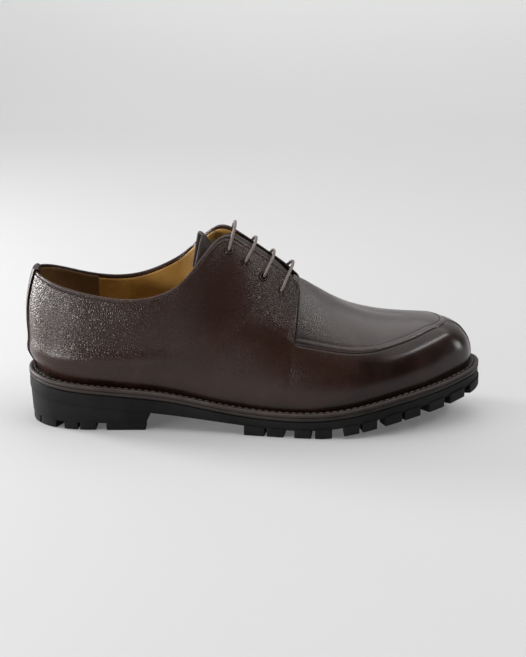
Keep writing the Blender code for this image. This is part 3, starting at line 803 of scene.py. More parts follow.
def add_piece(name, points, faces, material, slot, replaced=(), sharp=None, **values):
    """A mesh piece of the shoe, with one value a point for each named attribute."""
    mesh = bpy.data.meshes.new(name)
    mesh.from_pydata(in_row_frame(points).tolist(), [], faces)
    work = bmesh.new()
    work.from_mesh(mesh)
    bmesh.ops.recalc_face_normals(work, faces=work.faces)
    work.to_mesh(mesh)
    work.free()
    for key, numbers in values.items():
        mesh.attributes.new(key, "FLOAT", "POINT").data.foreach_set("value", np.asarray(numbers, float))
    mesh.materials.append(material)
    mesh.shade_smooth()
    if sharp:
        mesh.set_sharp_from_angle(angle=math.radians(sharp))
    piece = add_object(name, mesh)
    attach(piece, "root")
    if replaced:
        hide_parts(*replaced)
    return piece


def grid_faces(numbers, flip=False):
    """Faces between the neighbouring columns of a grid of point numbers."""
    quads = np.stack([numbers[:-1, :-1], numbers[1:, :-1], numbers[1:, 1:], numbers[:-1, 1:]], -1)
    quads = quads.reshape(-1, 4)
    return quads[:, ::-1] if flip else quads


class Patch:
    """A surface made of grids. Points that fall together are one point."""

    def __init__(self, *names):
        self.names = names
        self.parts = []
        self.quads = []
        self.count = 0

    def add_points(self, points, **values):
        shape = points.shape[:-1]
        columns = [np.broadcast_to(values.get(name, 0.0), shape).reshape(-1, 1) for name in self.names]
        self.parts.append(np.hstack([points.reshape(-1, 3), *columns]))
        numbers = np.arange(self.count, self.count + len(self.parts[-1])).reshape(shape)
        self.count += numbers.size
        return numbers

    def add_grid(self, points, flip=False, **values):
        numbers = self.add_points(points, **values)
        self.quads.append(grid_faces(numbers, flip))
        return numbers

    def weld(self):
        """Joins points that fall together and finds the normals."""
        everything = np.vstack(self.parts)
        keys = np.round(everything[:, :3] / WELD_DISTANCE).astype(np.int64)
        _, first, self.number_of = np.unique(keys, axis=0, return_index=True, return_inverse=True)
        self.number_of = self.number_of.reshape(-1)
        self.points = everything[first, :3]
        self.values = {name: everything[first, 3 + i] for i, name in enumerate(self.names)}
        quads = self.number_of[np.vstack(self.quads)]
        doubled = (quads[:, 0] == quads[:, 2]) | (quads[:, 1] == quads[:, 3])
        self.faces = quads[~doubled]
        self.set_normals(self.points)

    def face_lists(self):
        """The faces without doubled corners."""
        return [list(dict.fromkeys(face)) for face in self.faces.tolist()]

    def solid(self):
        """Points and faces of grids that close on themselves."""
        self.weld()
        return self.points, self.face_lists()

    def set_normals(self, points):
        a, b, c, d = (points[self.faces[:, i]] for i in range(4))
        crosses = np.cross(c - a, d - b)
        total = np.zeros_like(points)
        for i in range(4):
            np.add.at(total, self.faces[:, i], crosses)
        self.normals = unit(total)

    def outer(self):
        return self.points + self.normals * self.values["lift"][:, None]

    def shell(self, thickness, rim=4):
        """The lifted surface with a thickness and round rims: points, faces and patch point numbers."""
        outer = self.outer()
        self.set_normals(outer)
        count = len(outer)
        faces = self.face_lists()
        edges = {edge for face in faces for edge in zip(face, face[1:] + face[:1])}
        border = np.array(sorted(edge for edge in edges if edge[::-1] not in edges))
        away = np.zeros_like(outer)
        for end in (0, 1):
            crossing = np.cross(outer[border[:, 1]] - outer[border[:, 0]], self.normals[border[:, end]])
            np.add.at(away, border[:, end], unit(crossing))
        away = unit(away)
        rim_points = np.unique(border)
        place = np.full(count, -1)
        place[rim_points] = np.arange(len(rim_points))
        radius = thickness / 2
        middle = outer[rim_points] - self.normals[rim_points] * radius
        layers = [outer, outer - self.normals * thickness]
        for turn in np.linspace(0, math.pi, rim + 1)[1:-1]:
            turned = self.normals[rim_points] * math.cos(turn) + away[rim_points] * math.sin(turn)
            layers.append(middle + turned * radius)
        starts = np.cumsum([0] + [len(layer) for layer in layers])
        faces += [[index + count for index in reversed(face)] for face in faces]
        rows = [border, *(place[border] + start for start in starts[2:-1]), border + count]
        for upper, lower in zip(rows, rows[1:]):
            faces += np.stack([upper[:, 1], upper[:, 0], lower[:, 0], lower[:, 1]], -1).tolist()
        numbers = np.concatenate([np.arange(count), np.arange(count), *[rim_points] * (rim - 1)])
        return np.vstack(layers), faces, numbers


def add_leather(name, patch, thickness, material, slot, replaced=()):
    """A leather piece: the patch as a shell, with its grain and shade."""
    points, faces, numbers = patch.shell(thickness)
    looks = {key: patch.values[key][numbers] for key in ("grain", "shade")}
    add_piece(name, points, faces, material, slot, replaced, **looks)


def arc_lengths(points, axis):
    """Distances along the rows or columns of a grid of points."""
    steps = np.linalg.norm(np.diff(points, axis=axis), axis=-1)
    zero = np.zeros_like(np.take(steps, [0], axis=axis))
    return np.concatenate([zero, np.cumsum(steps, axis=axis)], axis=axis)


# Materials


class Nodes:
    """A node tree, with short ways to make its nodes."""

    def __init__(self, tree):
        self.nodes = tree.nodes
        self.links = tree.links

    def feed(self, socket, value):
        """Links a node's output to the socket, or sets the socket's value."""
        if isinstance(value, bpy.types.NodeSocket):
            self.links.new(value, socket)
        else:
            socket.default_value = value

    def add(self, kind, inputs, output=0, **settings):
        """The output of a new node. Each input takes a value or another node's output."""
        node = self.nodes.new("ShaderNode" + kind)
        for name, setting in settings.items():
            setattr(node, name, setting)
        for socket, value in inputs.items():
            self.feed(node.inputs[socket], value)
        return node.outputs[output]

    def ramp(self, value, low, high, start=0.0, end=1.0):
        """The value's range from low to high, softly mapped to start and end."""
        inputs = {"Value": value, "From Min": low, "From Max": high, "To Min": start, "To Max": end}
        return self.add("MapRange", inputs, "Result", interpolation_type="SMOOTHSTEP")


class Finish(Nodes):
    """A material with a principled shader and texture nodes in the piece's own coordinates."""

    def __init__(self, name, **constants):
        self.material = bpy.data.materials.new(name)
        self.material.use_nodes = True
        super().__init__(self.material.node_tree)
        self.shader = self.nodes["Principled BSDF"]
        for socket, value in constants.items():
            self.shader.inputs[socket.replace("_", " ")].default_value = value
        self.place = self.add("TexCoord", {}, "Object")

    def set(self, socket, value):
        self.feed(self.shader.inputs[socket], value)

    def noise(self, scale, detail=2.0, roughness=0.5):
        inputs = {"Vector": self.place, "Scale": scale, "Detail": detail, "Roughness": roughness}
        return self.add("TexNoise", inputs, "Fac")

    def cells(self, scale, place):
        """Distance from the borders of irregular cells."""
        inputs = {"Vector": place, "Scale": scale}
        return self.add("TexVoronoi", inputs, "Distance", feature="DISTANCE_TO_EDGE")

    def wobbled(self, scale, amount):
        """Places moved about a little by noise."""
        noise = self.add("TexNoise", {"Vector": self.place, "Scale": scale}, "Color")
        inputs = {0: noise, 1: (amount, amount, amount), 2: self.place}
        return self.add("VectorMath", inputs, operation="MULTIPLY_ADD")

    def attribute(self, name):
        return self.add("Attribute", {}, "Fac", attribute_name=name)

    def math(self, operation, first, second=0.0, third=0.0):
        return self.add("Math", {0: first, 1: second, 2: third}, operation=operation)

    def mix(self, share, first, second):
        """Two colours mixed. Each is a colour or another node's output."""
        inputs = {"Factor": share}
        for socket, colour in ((6, first), (7, second)):
            inputs[socket] = colour if isinstance(colour, bpy.types.NodeSocket) else (*colour, 1)
        return self.add("Mix", inputs, 2, data_type="RGBA")

    def bump(self, height, strength, distance, below=None):
        inputs = {"Height": height, "Strength": strength, "Distance": distance}
        if below:
            inputs["Normal"] = below
        return self.add("Bump", inputs, "Normal")


def leather_finish(name, dark, mid, light, roughness, **constants):
    """Pebbled leather: the grain attribute sets how strong the grain is, shade how light the colour, with
    painted highlights and painted shade.
    """
    finish = Finish(name, **constants)
    grain = finish.attribute("grain")
    cells = finish.cells(1 / PEBBLE_SIZE, finish.wobbled(*PEBBLE_WOBBLE))
    pebbles = finish.ramp(cells, 0.0, PEBBLE_BORDER)
    cloud = finish.noise(scale=55, detail=4, roughness=0.6)
    clouded = finish.math("SUBTRACT", cloud, 0.5)
    tone = finish.math("MULTIPLY_ADD", clouded, CLOUD_CONTRAST, 0.5)
    tone = finish.math("ADD", tone, finish.attribute("shade"))
    low = finish.mix(finish.ramp(tone, 0.0, 0.5), dark, mid)
    colour = finish.mix(finish.ramp(tone, 0.5, 1.0), low, light)
    # Darker in the valleys between the pebbles: painted shade in the valleys
    valley = finish.math("MULTIPLY", finish.math("SUBTRACT", 1.0, pebbles), grain)
    finish.set("Base Color", finish.mix(finish.math("MULTIPLY", valley, VALLEY_DARKNESS), colour, dark))
    rough = finish.math("MULTIPLY_ADD", valley, VALLEY_ROUGHNESS, roughness)
    finish.set("Roughness", finish.math("MULTIPLY_ADD", clouded, CLOUD_ROUGHNESS, rough))
    fine = finish.bump(finish.noise(scale=3800, detail=3), 0.05, 0.0002)
    finish.set("Normal", finish.bump(pebbles, grain, PEBBLE_HEIGHT, fine))
    return finish.material


def lining_finish(name, dark, light, roughness):
    """Smooth lining leather, a little worn."""
    finish = Finish(name)
    cloud = finish.noise(scale=60, detail=4, roughness=0.6)
    fibre = finish.noise(scale=900, detail=3, roughness=0.6)
    finish.set("Base Color", finish.mix(finish.ramp(cloud, 0.25, 0.75), dark, light))
    finish.set("Roughness", finish.math("MULTIPLY_ADD", fibre, 0.2, roughness))
    finish.set("Normal", finish.bump(fibre, 0.25, 0.0002))
    return finish.material


def rubber_finish(name, dark, light):
    """Matt rubber with a little dust."""
    finish = Finish(name, Specular_IOR_Level=0.13)
    cloud = finish.noise(scale=40, detail=5, roughness=0.6)
    dust = finish.noise(scale=700, detail=3, roughness=0.6)
    tone = finish.math("MULTIPLY_ADD", dust, 0.35, finish.math("MULTIPLY", cloud, 0.65))
    finish.set("Base Color", finish.mix(finish.ramp(tone, 0.3, 0.7), dark, light))
    finish.set("Roughness", finish.ramp(cloud, 0.25, 0.75, 0.5, 0.68))
    finish.set("Normal", finish.bump(dust, 0.25, 0.0002))
    return finish.material


def edge_finish(name, dark, mid, light, fibre_colour):
    """The cut, stained and waxed edge of the welt and the midsole. Its shade attribute adds painted
    highlights and painted shade to the colour.
    """
    finish = Finish(name, Specular_IOR_Level=0.3)
    cloud = finish.noise(scale=70, detail=4, roughness=0.6)
    fibre = finish.noise(scale=1300, detail=3, roughness=0.6)
    tone = finish.math("ADD", cloud, finish.attribute("shade"))
    low = finish.mix(finish.ramp(tone, 0.0, 0.5), dark, mid)
    colour = finish.mix(finish.ramp(tone, 0.5, 1.1), low, light)
    finish.set("Base Color", finish.mix(finish.ramp(fibre, 0.35, 0.7, 0.0, 0.3), colour, fibre_colour))
    finish.set("Roughness", finish.ramp(cloud, 0.3, 0.7, 0.42, 0.58))
    finish.set("Normal", finish.bump(fibre, 0.3, 0.0003))
    return finish.material


def thread_finish(name, dark, light):
    finish = Finish(name)
    twist = finish.noise(scale=2600)
    finish.set("Base Color", finish.mix(finish.ramp(twist, 0.3, 0.7), dark, light))
    finish.set("Roughness", finish.ramp(twist, 0.3, 0.7, 0.5, 0.7))
    finish.set("Normal", finish.bump(twist, 0.3, 0.0002))
    return finish.material


def cord_finish(name, dark, light):
    """Round braided cord with wax: strands cross each other along the cord."""
    finish = Finish(name, Coat_Weight=0.15, Coat_Roughness=0.35)
    along = finish.math("MULTIPLY", finish.attribute("along"), 2 * math.pi / BRAID_PITCH)
    around = finish.math("MULTIPLY", finish.attribute("around"), BRAID_STRANDS)
    left = finish.math("SINE", finish.math("ADD", along, around))
    right = finish.math("SINE", finish.math("SUBTRACT", along, around))
    braid = finish.math("MAXIMUM", left, right)
    wax = finish.noise(scale=500, detail=3)
    tone = finish.math("MULTIPLY_ADD", wax, 0.5, finish.math("MULTIPLY", braid, 0.5))
    finish.set("Base Color", finish.mix(finish.ramp(tone, 0.0, 0.9), dark, light))
    finish.set("Roughness", finish.ramp(wax, 0.3, 0.7, 0.45, 0.6))
    finish.set("Normal", finish.bump(braid, 0.4, 0.0002))
    return finish.material


LEATHER_FINISH = leather_finish(
    "leather",
    dark=(0.0075, 0.0026, 0.0015),
    mid=(0.025, 0.0103, 0.0066),
    light=(0.055, 0.03, 0.0225),
    roughness=0.25,
    Specular_IOR_Level=0.4,
)
APRON_FINISH = leather_finish(
    "apron_leather",
    dark=(0.01, 0.0055, 0.004),
    mid=(0.026, 0.015, 0.012),
    light=(0.05, 0.033, 0.028),
    roughness=0.3,
    Specular_IOR_Level=0.6,
    Coat_Weight=0.1,
    Coat_Roughness=0.3,
)
TONGUE_FINISH = leather_finish(
    "tongue_leather",
    dark=(0.009, 0.0055, 0.0045),
    mid=(0.02, 0.0125, 0.0105),
    light=(0.04, 0.028, 0.025),
    roughness=0.45,
    Specular_IOR_Level=0.3,
)
EDGE_FINISH = edge_finish(
    "edge_leather",
    dark=(0.006, 0.004, 0.0032),
    mid=(0.032, 0.023, 0.02),
    light=(0.09, 0.07, 0.062),
    fibre_colour=(0.01, 0.007, 0.006),
)
LINING_FINISH = lining_finish("lining_leather", (0.3, 0.15, 0.028), (0.46, 0.245, 0.05), 0.45)
HEEL_LINING_FINISH = lining_finish("heel_lining", (0.085, 0.04, 0.009), (0.155, 0.076, 0.02), 0.7)
RUBBER_FINISH = rubber_finish("rubber", (0.004, 0.004, 0.004), (0.012, 0.0117, 0.0114))
THREAD_FINISH = thread_finish("thread", (0.036, 0.027, 0.024), (0.06, 0.045, 0.04))
WELT_THREAD_FINISH = thread_finish("welt_thread", (0.06, 0.048, 0.042), (0.1, 0.08, 0.07))
CORD_FINISH = cord_finish("waxed_cord", (0.075, 0.056, 0.052), (0.21, 0.165, 0.155))


# Leather sides with the facings


def in_rows(stations, count):
    """Each column's angle, repeated for its rows."""
    return np.repeat(stations[:, None], count, 1)


def side_stations():
    """Angles of the side's columns: even steps along foot and top, smaller at the facing's edge."""
    fine = np.linspace(0, FACING_ANGLE, SAMPLES)
    foot, _, _, top = QUARTER_SECTION[LATERAL](fine)
    run = (arc_lengths(foot, 0) + arc_lengths(top, 0)) / 2
    return np.interp(spaced(0, run[-1], SIDE_STEP, (run[-1], *FACING_STEP)), run, fine)


def front_stations():
    """Angles of the front's columns from the facing's edge to the toe, with small steps at both ends."""
    fine = np.linspace(FACING_ANGLE, math.pi, SAMPLES)
    run = arc_lengths(outline(LATERAL, fine), 0)
    wanted = spaced(0, run[-1], SIDE_STEP, (0, *FRONT_STEP), (run[-1], *TOE_STEP))
    return np.interp(wanted, run, fine)


SEAM_SHARE = {side: float(seam_place(side, FACING_ANGLE)) / THROAT_PLACE[side] for side in SIDES}
MEAN_SEAM_SHARE = sum(SEAM_SHARE.values()) / 2
WALL_SHARES = spaced(0, 1, 0.033, (1, 0.008, 0.12))
UPPER_SHARES = spaced(0, 1, 0.026, (0, 0.01, 0.1), (1, 0.006, 0.12))


def facing_shift(share):
    """How far the facing's front edge lies ahead of the straight section, as an angle."""
    forward = np.interp(share, FACING_EDGE["share"], FACING_EDGE["forward"])
    return forward / (SOLE_LENGTH / 2)


def side_grid(side, stations):
    """Angles and places of the side's grid: rows below the seam's height, then rows above it."""
    angle = in_rows(stations, len(WALL_SHARES) + len(UPPER_SHARES) - 1)
    to_facing = angle / FACING_ANGLE
    seam = MEAN_SEAM_SHARE * (1 - to_facing) + SEAM_SHARE[side] * to_facing
    wall = seam[:, :1] * WALL_SHARES
    upper = seam[:, :1] + (1 - seam[:, :1]) * UPPER_SHARES[1:]
    place = np.hstack([wall, upper])
    above = (place - seam) / (1 - seam)
    near = smooth_ramp(1 - (FACING_ANGLE - angle) / FACING_REACH)
    angle = angle + np.where(above > 0, facing_shift(above) * near, 0)
    return angle, place, np.clip(above, 0, 1)


def facing_lift(behind):
    """How far the facing stands proud of the apron, by the distance behind its front edge."""
    return FACING_LIFT * (1 - rise(behind, *FACING_FADE))


def side_lift(behind, above, below_top):
    """The facing stands proud at its front edge. The edges are drawn in along their stitches."""
    facing = facing_lift(behind) * rise(above, *FACING_RISE)
    facing = facing + hump(behind, *FACING_DIP) * (above > FACING_STITCH_START)
    return facing + hump(below_top, *COLLAR_DIP) + hump(below_top, *COLLAR_RIDGE)


def heel_lift(points):
    """The stiff heel cup swells a little above the welt."""
    return hump(points[..., 2], *HEEL_SWELL) * (1 - rise(points[..., 0], *HEEL_SWELL_FADE))


def crease_lift(creases, first, second):
    """Soft troughs with low ridges beside them, along short lines that fade out at both ends."""
    lift = np.zeros(np.shape(first))
    for first_1, second_1, first_2, second_2, depth, width in zip(*creases.values()):
        length = math.hypot(first_2 - first_1, second_2 - second_1)
        run = ((first_2 - first_1) / length, (second_2 - second_1) / length)
        along = ((first - first_1) * run[0] + (second - second_1) * run[1]) / length
        aside = ((second - second_1) * run[0] - (first - first_1) * run[1]) / width
        fade = np.exp(-(((along - 0.5) / CREASE_REACH) ** 4))
        lift = lift - depth * fade * (1 - aside**2) * np.exp(-(aside**2))
    return lift


def foot_grain(up):
    """The share of the grain that is left near the welt, where the leather is drawn tight."""
    return FOOT_GRAIN_SHARE + (1 - FOOT_GRAIN_SHARE) * rise(up, *FOOT_GRAIN_RISE)


def add_side(patch, side, stations):
    """A side with its facing and lace holes: its point numbers, and their distances from its edges."""
    angle, place, above = side_grid(side, stations)
    points = quarter_point(side, angle, place)
    up = arc_lengths(points, 1)
    below_top = up[:, -1:] - up
    along = arc_lengths(points, 0)
    behind = along[-1:] - along
    lift = side_lift(behind, above, below_top) + heel_lift(points)
    points[:, 0, 2] -= FOOT_SINK
    heel = HEEL_GRAIN * (1 - rise(points[..., 0], *HEEL_GRAIN_FADE))
    facing = hump(behind, *FACING_GRAIN) * rise(points[..., 2], *FACING_GRAIN_RISE)
    grain = (SIDE_GRAIN + heel + facing) * foot_grain(up)
    # Painted highlight along the collar's top edge and the facing's front edge, and painted shade in the
    # corner above the welt
    from_edge = np.minimum(below_top, behind + EDGE_HIGHLIGHT_LOW_END * (above == 0))
    shade = hump(from_edge, *EDGE_PAINTED_HIGHLIGHT) + hump(up, *FOOT_PAINTED_SHADE)
    numbers = patch.add_points(points, lift=lift, grain=grain, shade=shade)
    keep = np.ones((len(stations) - 1, points.shape[1] - 1), bool)
    for hole in holes_of(side):
        punch(patch, points, lift, grain, numbers, keep, hole, side)
    patch.quads.append(grid_faces(numbers, flip=side == MEDIAL)[keep.reshape(-1)])
    return dict(numbers=numbers, below_top=below_top, behind=behind, above=above[0])


def add_front(patch, side, stations):
    """The front of a side up to the apron seam. Its last rows are tucked under the apron."""
    rows = seam_place(side, stations)[:, None] * WALL_SHARES
    points = vamp_point(side, in_rows(stations, rows.shape[1]), rows)
    up = arc_lengths(points, 1)
    speed = (up[:, -1:] - up[:, -2:-1]) / (rows[:, -1:] - rows[:, -2:-1])
    tuck_rows = rows[:, -1:] + np.array(SEAM_TUCK) / speed
    tucked = vamp_point(side, in_rows(stations, len(SEAM_TUCK)), tuck_rows)
    points = np.concatenate([points, tucked], 1)
    below_seam = np.hstack([up[:, -1:] - up, -np.repeat([SEAM_TUCK], len(stations), 0)])
    ahead = arc_lengths(points, 0)
    groove = SEAM_GROOVE * (1 - rise(below_seam, *SEAM_GROOVE_FADE)) * rise(ahead, *RIM_RISE)
    beside_toe = np.abs(points[..., 1] - points[-1:, :, 1])
    lips = hump(beside_toe, *TOE_SEAM_RIDGE) + hump(beside_toe, *TOE_SEAM_CUT)
    swell = hump(below_seam, *TOE_SWELL) * rise(ahead, *TOE_SWELL_RISE)
    lift = lips * (below_seam > -TOE_SEAM_ABOVE) + swell - groove
    if side == LATERAL:
        lift = lift + crease_lift(SIDE_CREASES, points[..., 0], points[..., 2])
    points[:, 0, 2] -= FOOT_SINK
    foot = arc_lengths(points, 1)
    grain = (FRONT_GRAIN + BALL_GRAIN * (1 - rise(ahead, *BALL_GRAIN_FADE))) * foot_grain(foot)
    # Painted shade above the welt, and on the front wall towards the toe, where the wall faces the dim
    # front
    shade = hump(foot, *FOOT_PAINTED_SHADE) + TOE_PAINTED_SHADE * rise(ahead, *TOE_PAINTED_SHADE_RISE)
    patch.add_grid(points, flip=side == MEDIAL, lift=lift, grain=grain, shade=shade)


def leather_sides():
    patch = Patch("lift", "grain", "shade")
    stations = side_stations()
    front = front_stations()
    grids = {}
    for side in SIDES:
        grids[side] = add_side(patch, side, stations)
        add_front(patch, side, front)
    patch.weld()
    return patch, grids


def holes_of(side):
    """Middles of the lace holes of a side, as angle and place."""
    for top_x, from_edge in zip(EYELETS["top_x"], EYELETS["from_edge"]):
        angle = station_of_top(side, top_x)
        yield angle, place_from_top(side, angle, from_edge)


def punch(patch, points, lift, grain, numbers, keep, hole, side):
    """Takes a block of cells out of the grid and fills it up to a round hole."""
    centre = quarter_point(side, *hole)
    normal = side_normal(side, *hole)
    offset = points - centre
    near = np.argwhere(np.linalg.norm(offset, axis=-1) < HOLE_CLEAR)
    (c0, r0), (c1, r1) = near.min(0), near.max(0)
    keep[c0:c1, r0:r1] = False
    around = [(c, r0) for c in range(c0, c1)] + [(c1, r) for r in range(r0, r1)]
    around += [(c, r1) for c in range(c1, c0, -1)] + [(c0, r) for r in range(r1, r0, -1)]
    columns, rows = np.array(around).T
    border = offset[columns, rows]
    height = (border @ normal)[:, None]
    flat = border - height * normal
    circle = unit(flat) * HOLE_RADIUS
    level = lift[columns, rows]
    rings = [numbers[columns, rows]]
    # The rings round each hole are a little darker: painted shade in the hole
    for share, dip in HOLE_RINGS:
        ring = centre + circle + (flat - circle) * share + normal * height * share**2
        ring_lift = level * share + level.mean() * (1 - share) - dip
        rings.append(patch.add_points(ring, lift=ring_lift, grain=grain[columns, rows], shade=HOLE_PAINTED_SHADE))
    loops = np.array(rings).T
    patch.quads.append(grid_faces(np.vstack([loops, loops[:1]]), flip=side == LATERAL))


# Apron


RIM_ROWS = spaced(0, 6.5, 0.5, (2.2, 0.3, 6))


def apron_stations():
    """Angles of the apron's columns from under the facing to the toe."""
    fine = np.linspace(FACING_ANGLE - APRON_BACK, math.pi, SAMPLES)
    ridge = vamp_point(LATERAL, fine, np.ones_like(fine))
    run = (arc_lengths(outline(LATERAL, fine), 0) + arc_lengths(ridge, 0)) / 2
    return np.interp(spaced(0, run[-1], APRON_STEP, (APRON_FINE_PLACE, *FACING_STEP)), run, fine)


def apron_rows(side, stations):
    """Places on front sections: fixed distances over the rim, then even steps to the ridge."""
    seam = seam_place(side, stations)[:, None]
    fine = seam + (1 - seam) * np.linspace(0, 1, SECTION_SAMPLES)
    lengths = arc_lengths(vamp_point(side, in_rows(stations, SECTION_SAMPLES), fine), 1)
    places = []
    distances = []
    for length, place in zip(lengths, fine):
        to_ridge = np.linspace(RIM_ROWS[-1], length[-1], APRON_ROWS)[1:]
        distances.append(np.concatenate([RIM_ROWS, to_ridge]))
        places.append(np.interp(distances[-1], length, place))
    places = np.array(places)
    places[:, -1] = 1
    share = (places - seam) / (1 - seam)
    return places, share, np.array(distances)


def apron():
    """The apron with its rim and creases, set down along the facing's front edge."""
    patch = Patch("lift", "grain", "shade")
    stations = apron_stations()
    grids = {}
    for side in SIDES:
        places, share, from_seam = apron_rows(side, stations)
        angles = in_rows(stations, places.shape[1])
        points = vamp_point(side, angles, places)
        ahead = (angles - FACING_ANGLE) * SOLE_LENGTH / 2
        groove = hump(ahead - facing_shift(share) * SOLE_LENGTH / 2, *FACING_GROOVE_AND_SHADOW)
        rim = np.interp(from_seam, RIM_PROFILE["distance"], RIM_PROFILE["lift"]) * rise(ahead, *RIM_RISE)
        lift = rim - APRON_BACK_SINK * (1 - rise(ahead, *APRON_BACK_RISE))
        lift = lift + groove * rise(from_seam, *FACING_GROOVE_RISE)
        lift = lift + crease_lift(APRON_CREASES, ahead, from_seam)
        grain = APRON_GRAIN + hump(ahead, *THROAT_GRAIN) * rise(from_seam, *THROAT_GRAIN_RISE)
        # Painted shade in the apron's corner by the facing and the seam, and a painted shadow line in the
        # groove along the facing's edge
        corner = smooth_ramp(1 - ahead / CORNER_AHEAD - from_seam / CORNER_BESIDE)
        shade = APRON_SHADE + CORNER_PAINTED_SHADE * corner + groove
        numbers = patch.add_grid(points, flip=side == MEDIAL, lift=lift, grain=grain, shade=shade)
        grids[side] = dict(numbers=numbers, from_seam=from_seam, ahead=ahead[:, 0])
    patch.weld()
    return patch, grids


# Heel strip


def heel_strip():
    """A narrow strip over the back seam. Its top is folded over the collar and ends inside."""
    places = np.concatenate([np.linspace(0, 0.9, 50), np.linspace(0.9, 1, 12)[1:]])
    turns = np.radians(np.arange(15, 180, 15))[:, None]
    down = np.linspace(0.5, STRIP_INSIDE, 8)[:, None]
    depth = LEATHER + STRIP_LIFT + (LINING + STRIP_LINING_GAP) * rise(down, *STRIP_TURN_IN)
    radius = LEATHER / 2 + STRIP_LIFT
    columns = []
    for offset in np.linspace(-1, 1, STRIP_COLUMNS):
        side = MEDIAL if offset > 0 else LATERAL
        widths = STRIP_FOOT_WIDTH + (STRIP_TOP_WIDTH - STRIP_FOOT_WIDTH) * places
        angles = abs(offset) * widths / OUTLINE_PER_RADIAN
        swell = heel_lift(quarter_point(side, angles, places))
        outside = side_point(side, angles, places, swell + STRIP_LIFT)
        top = quarter_point(side, angles[-1], 1.0)
        normal = side_normal(side, angles[-1], 1.0)
        upward = unit(top - quarter_point(side, angles[-1], JUST_BELOW_TOP))
        over = top - normal * LEATHER / 2 + radius * (normal * np.cos(turns) + upward * np.sin(turns))
        inside = top - upward * down - normal * depth
        columns.append(np.vstack([outside, over, inside]))
    patch = Patch("lift", "grain", "shade")
    patch.add_grid(np.array(columns), grain=STRIP_GRAIN, shade=STRIP_SHADE)
    patch.weld()
    add_leather("heel_strip", patch, STRIP_THICKNESS, LEATHER_FINISH, "leather")


# Linings


def add_lining(name, end_angle, lift, thickness, below, material, front):
    """A thin leather skin inside the sides, open at the collar, and with the front if asked for."""
    patch = Patch("lift")
    shares = np.linspace(LINING_FOOT, 1, LINING_ROWS)
    for side in SIDES:
        angle = in_rows(np.linspace(0, end_angle, LINING_COLUMNS), LINING_ROWS)
        length = arc_lengths(quarter_point(side, angle, np.broadcast_to(shares, angle.shape)), 1)[:, -1:]
        place = shares * (1 - below / length)
        patch.add_grid(quarter_point(side, angle, place), flip=side == MEDIAL, lift=lift)
        if front:
            stations = np.linspace(FACING_ANGLE - LINING_OVERLAP, math.pi, LINING_FRONT_COLUMNS)
            angle = in_rows(stations, LINING_ROWS)
            points = vamp_point(side, angle, np.broadcast_to(shares, angle.shape))
            patch.add_grid(points, flip=side == MEDIAL, lift=lift - LINING_FRONT_SINK)
    patch.weld()
    points, faces, _ = patch.shell(thickness, 2)
    add_piece(name, points, faces, material, "lining_leather")


def linings():
    lift = -LEATHER - LINING_GAP
    add_lining("lining", FACING_ANGLE, lift, LINING, LINING_BELOW_COLLAR, LINING_FINISH, True)
    heel_end = float(angle_of(HEEL_LINING_X))
    lift = HEEL_LINING_OUT - WALL
    below = HEEL_LINING_BELOW_COLLAR
    add_lining("heel_lining", heel_end, lift, HEEL_LINING, below, HEEL_LINING_FINISH, False)


# Tongue


def bridge(lateral, medial, pull, shares):
    """Points of an arc from the end of one row of points to the end of the other, in line with both."""
    start, end = lateral[-1], medial[-1]
    near_start = start + (start - lateral[-2]) * pull
    near_end = end + (end - medial[-2]) * pull
    return bezier((start, near_start, near_end, end), shares)


def tongue():
    """A leaf under the facings. Near its top it dips between them, and its end curls up."""
    wing_shares = np.linspace(TONGUE_SIDE, 1, TONGUE_WING_POINTS)
    depths = np.full(TONGUE_WING_POINTS, -(WALL + TONGUE_GAP))
    arc_shares = np.linspace(0, 1, TONGUE_ARC_POINTS)[1:-1]
    top_angle = station_of_top(LATERAL, LATERAL_QUARTER["top_x"][-4] + TONGUE_TOP_AHEAD)
    rows = []
    for angle in np.linspace(FACING_ANGLE + TONGUE_UNDER_APRON, top_angle, TONGUE_ROWS):
        angles = np.full(TONGUE_WING_POINTS, angle)
        lateral, medial = (side_point(side, angles, wing_shares, depths) for side in SIDES)
        rows.append(np.vstack([lateral, bridge(lateral, medial, TONGUE_PULL, arc_shares), medial[::-1]]))
    last = rows[-1]
    middle = len(last) // 2
    aside = np.abs(last[:, 1:2]) / np.abs(last[:, 1]).max()
    run = unit((rows[-1] - rows[-6])[middle])
    past = np.linspace(0, TONGUE_REACH, TONGUE_END_ROWS)[1:]
    rows += [last + run * beyond * (1 + TONGUE_WING_REACH * aside) for beyond in past]
    points = np.array(rows)
    along = arc_lengths(points, 0)[:, middle]
    sink_at = natural_spline(TONGUE_PROFILE["beyond"], TONGUE_PROFILE["sink"])
    points[..., 2] -= sink_at(along - along[-1] + TONGUE_REACH)[:, None]
    patch = Patch("lift", "grain", "shade")
    patch.add_grid(points[::-1], grain=TONGUE_GRAIN)
    patch.weld()
    add_leather("tongue_leaf", patch, TONGUE_THICKNESS, TONGUE_FINISH, "tongue_leather", ("tongue",))


# Laces


def tube_faces(rings, sides):
    """Faces around rings of points and over both ends."""
    numbers = np.arange(rings * sides).reshape(rings, sides)
    closed = np.hstack([numbers, numbers[:, :1]])
    return grid_faces(closed).tolist() + [numbers[0].tolist(), numbers[-1].tolist()]


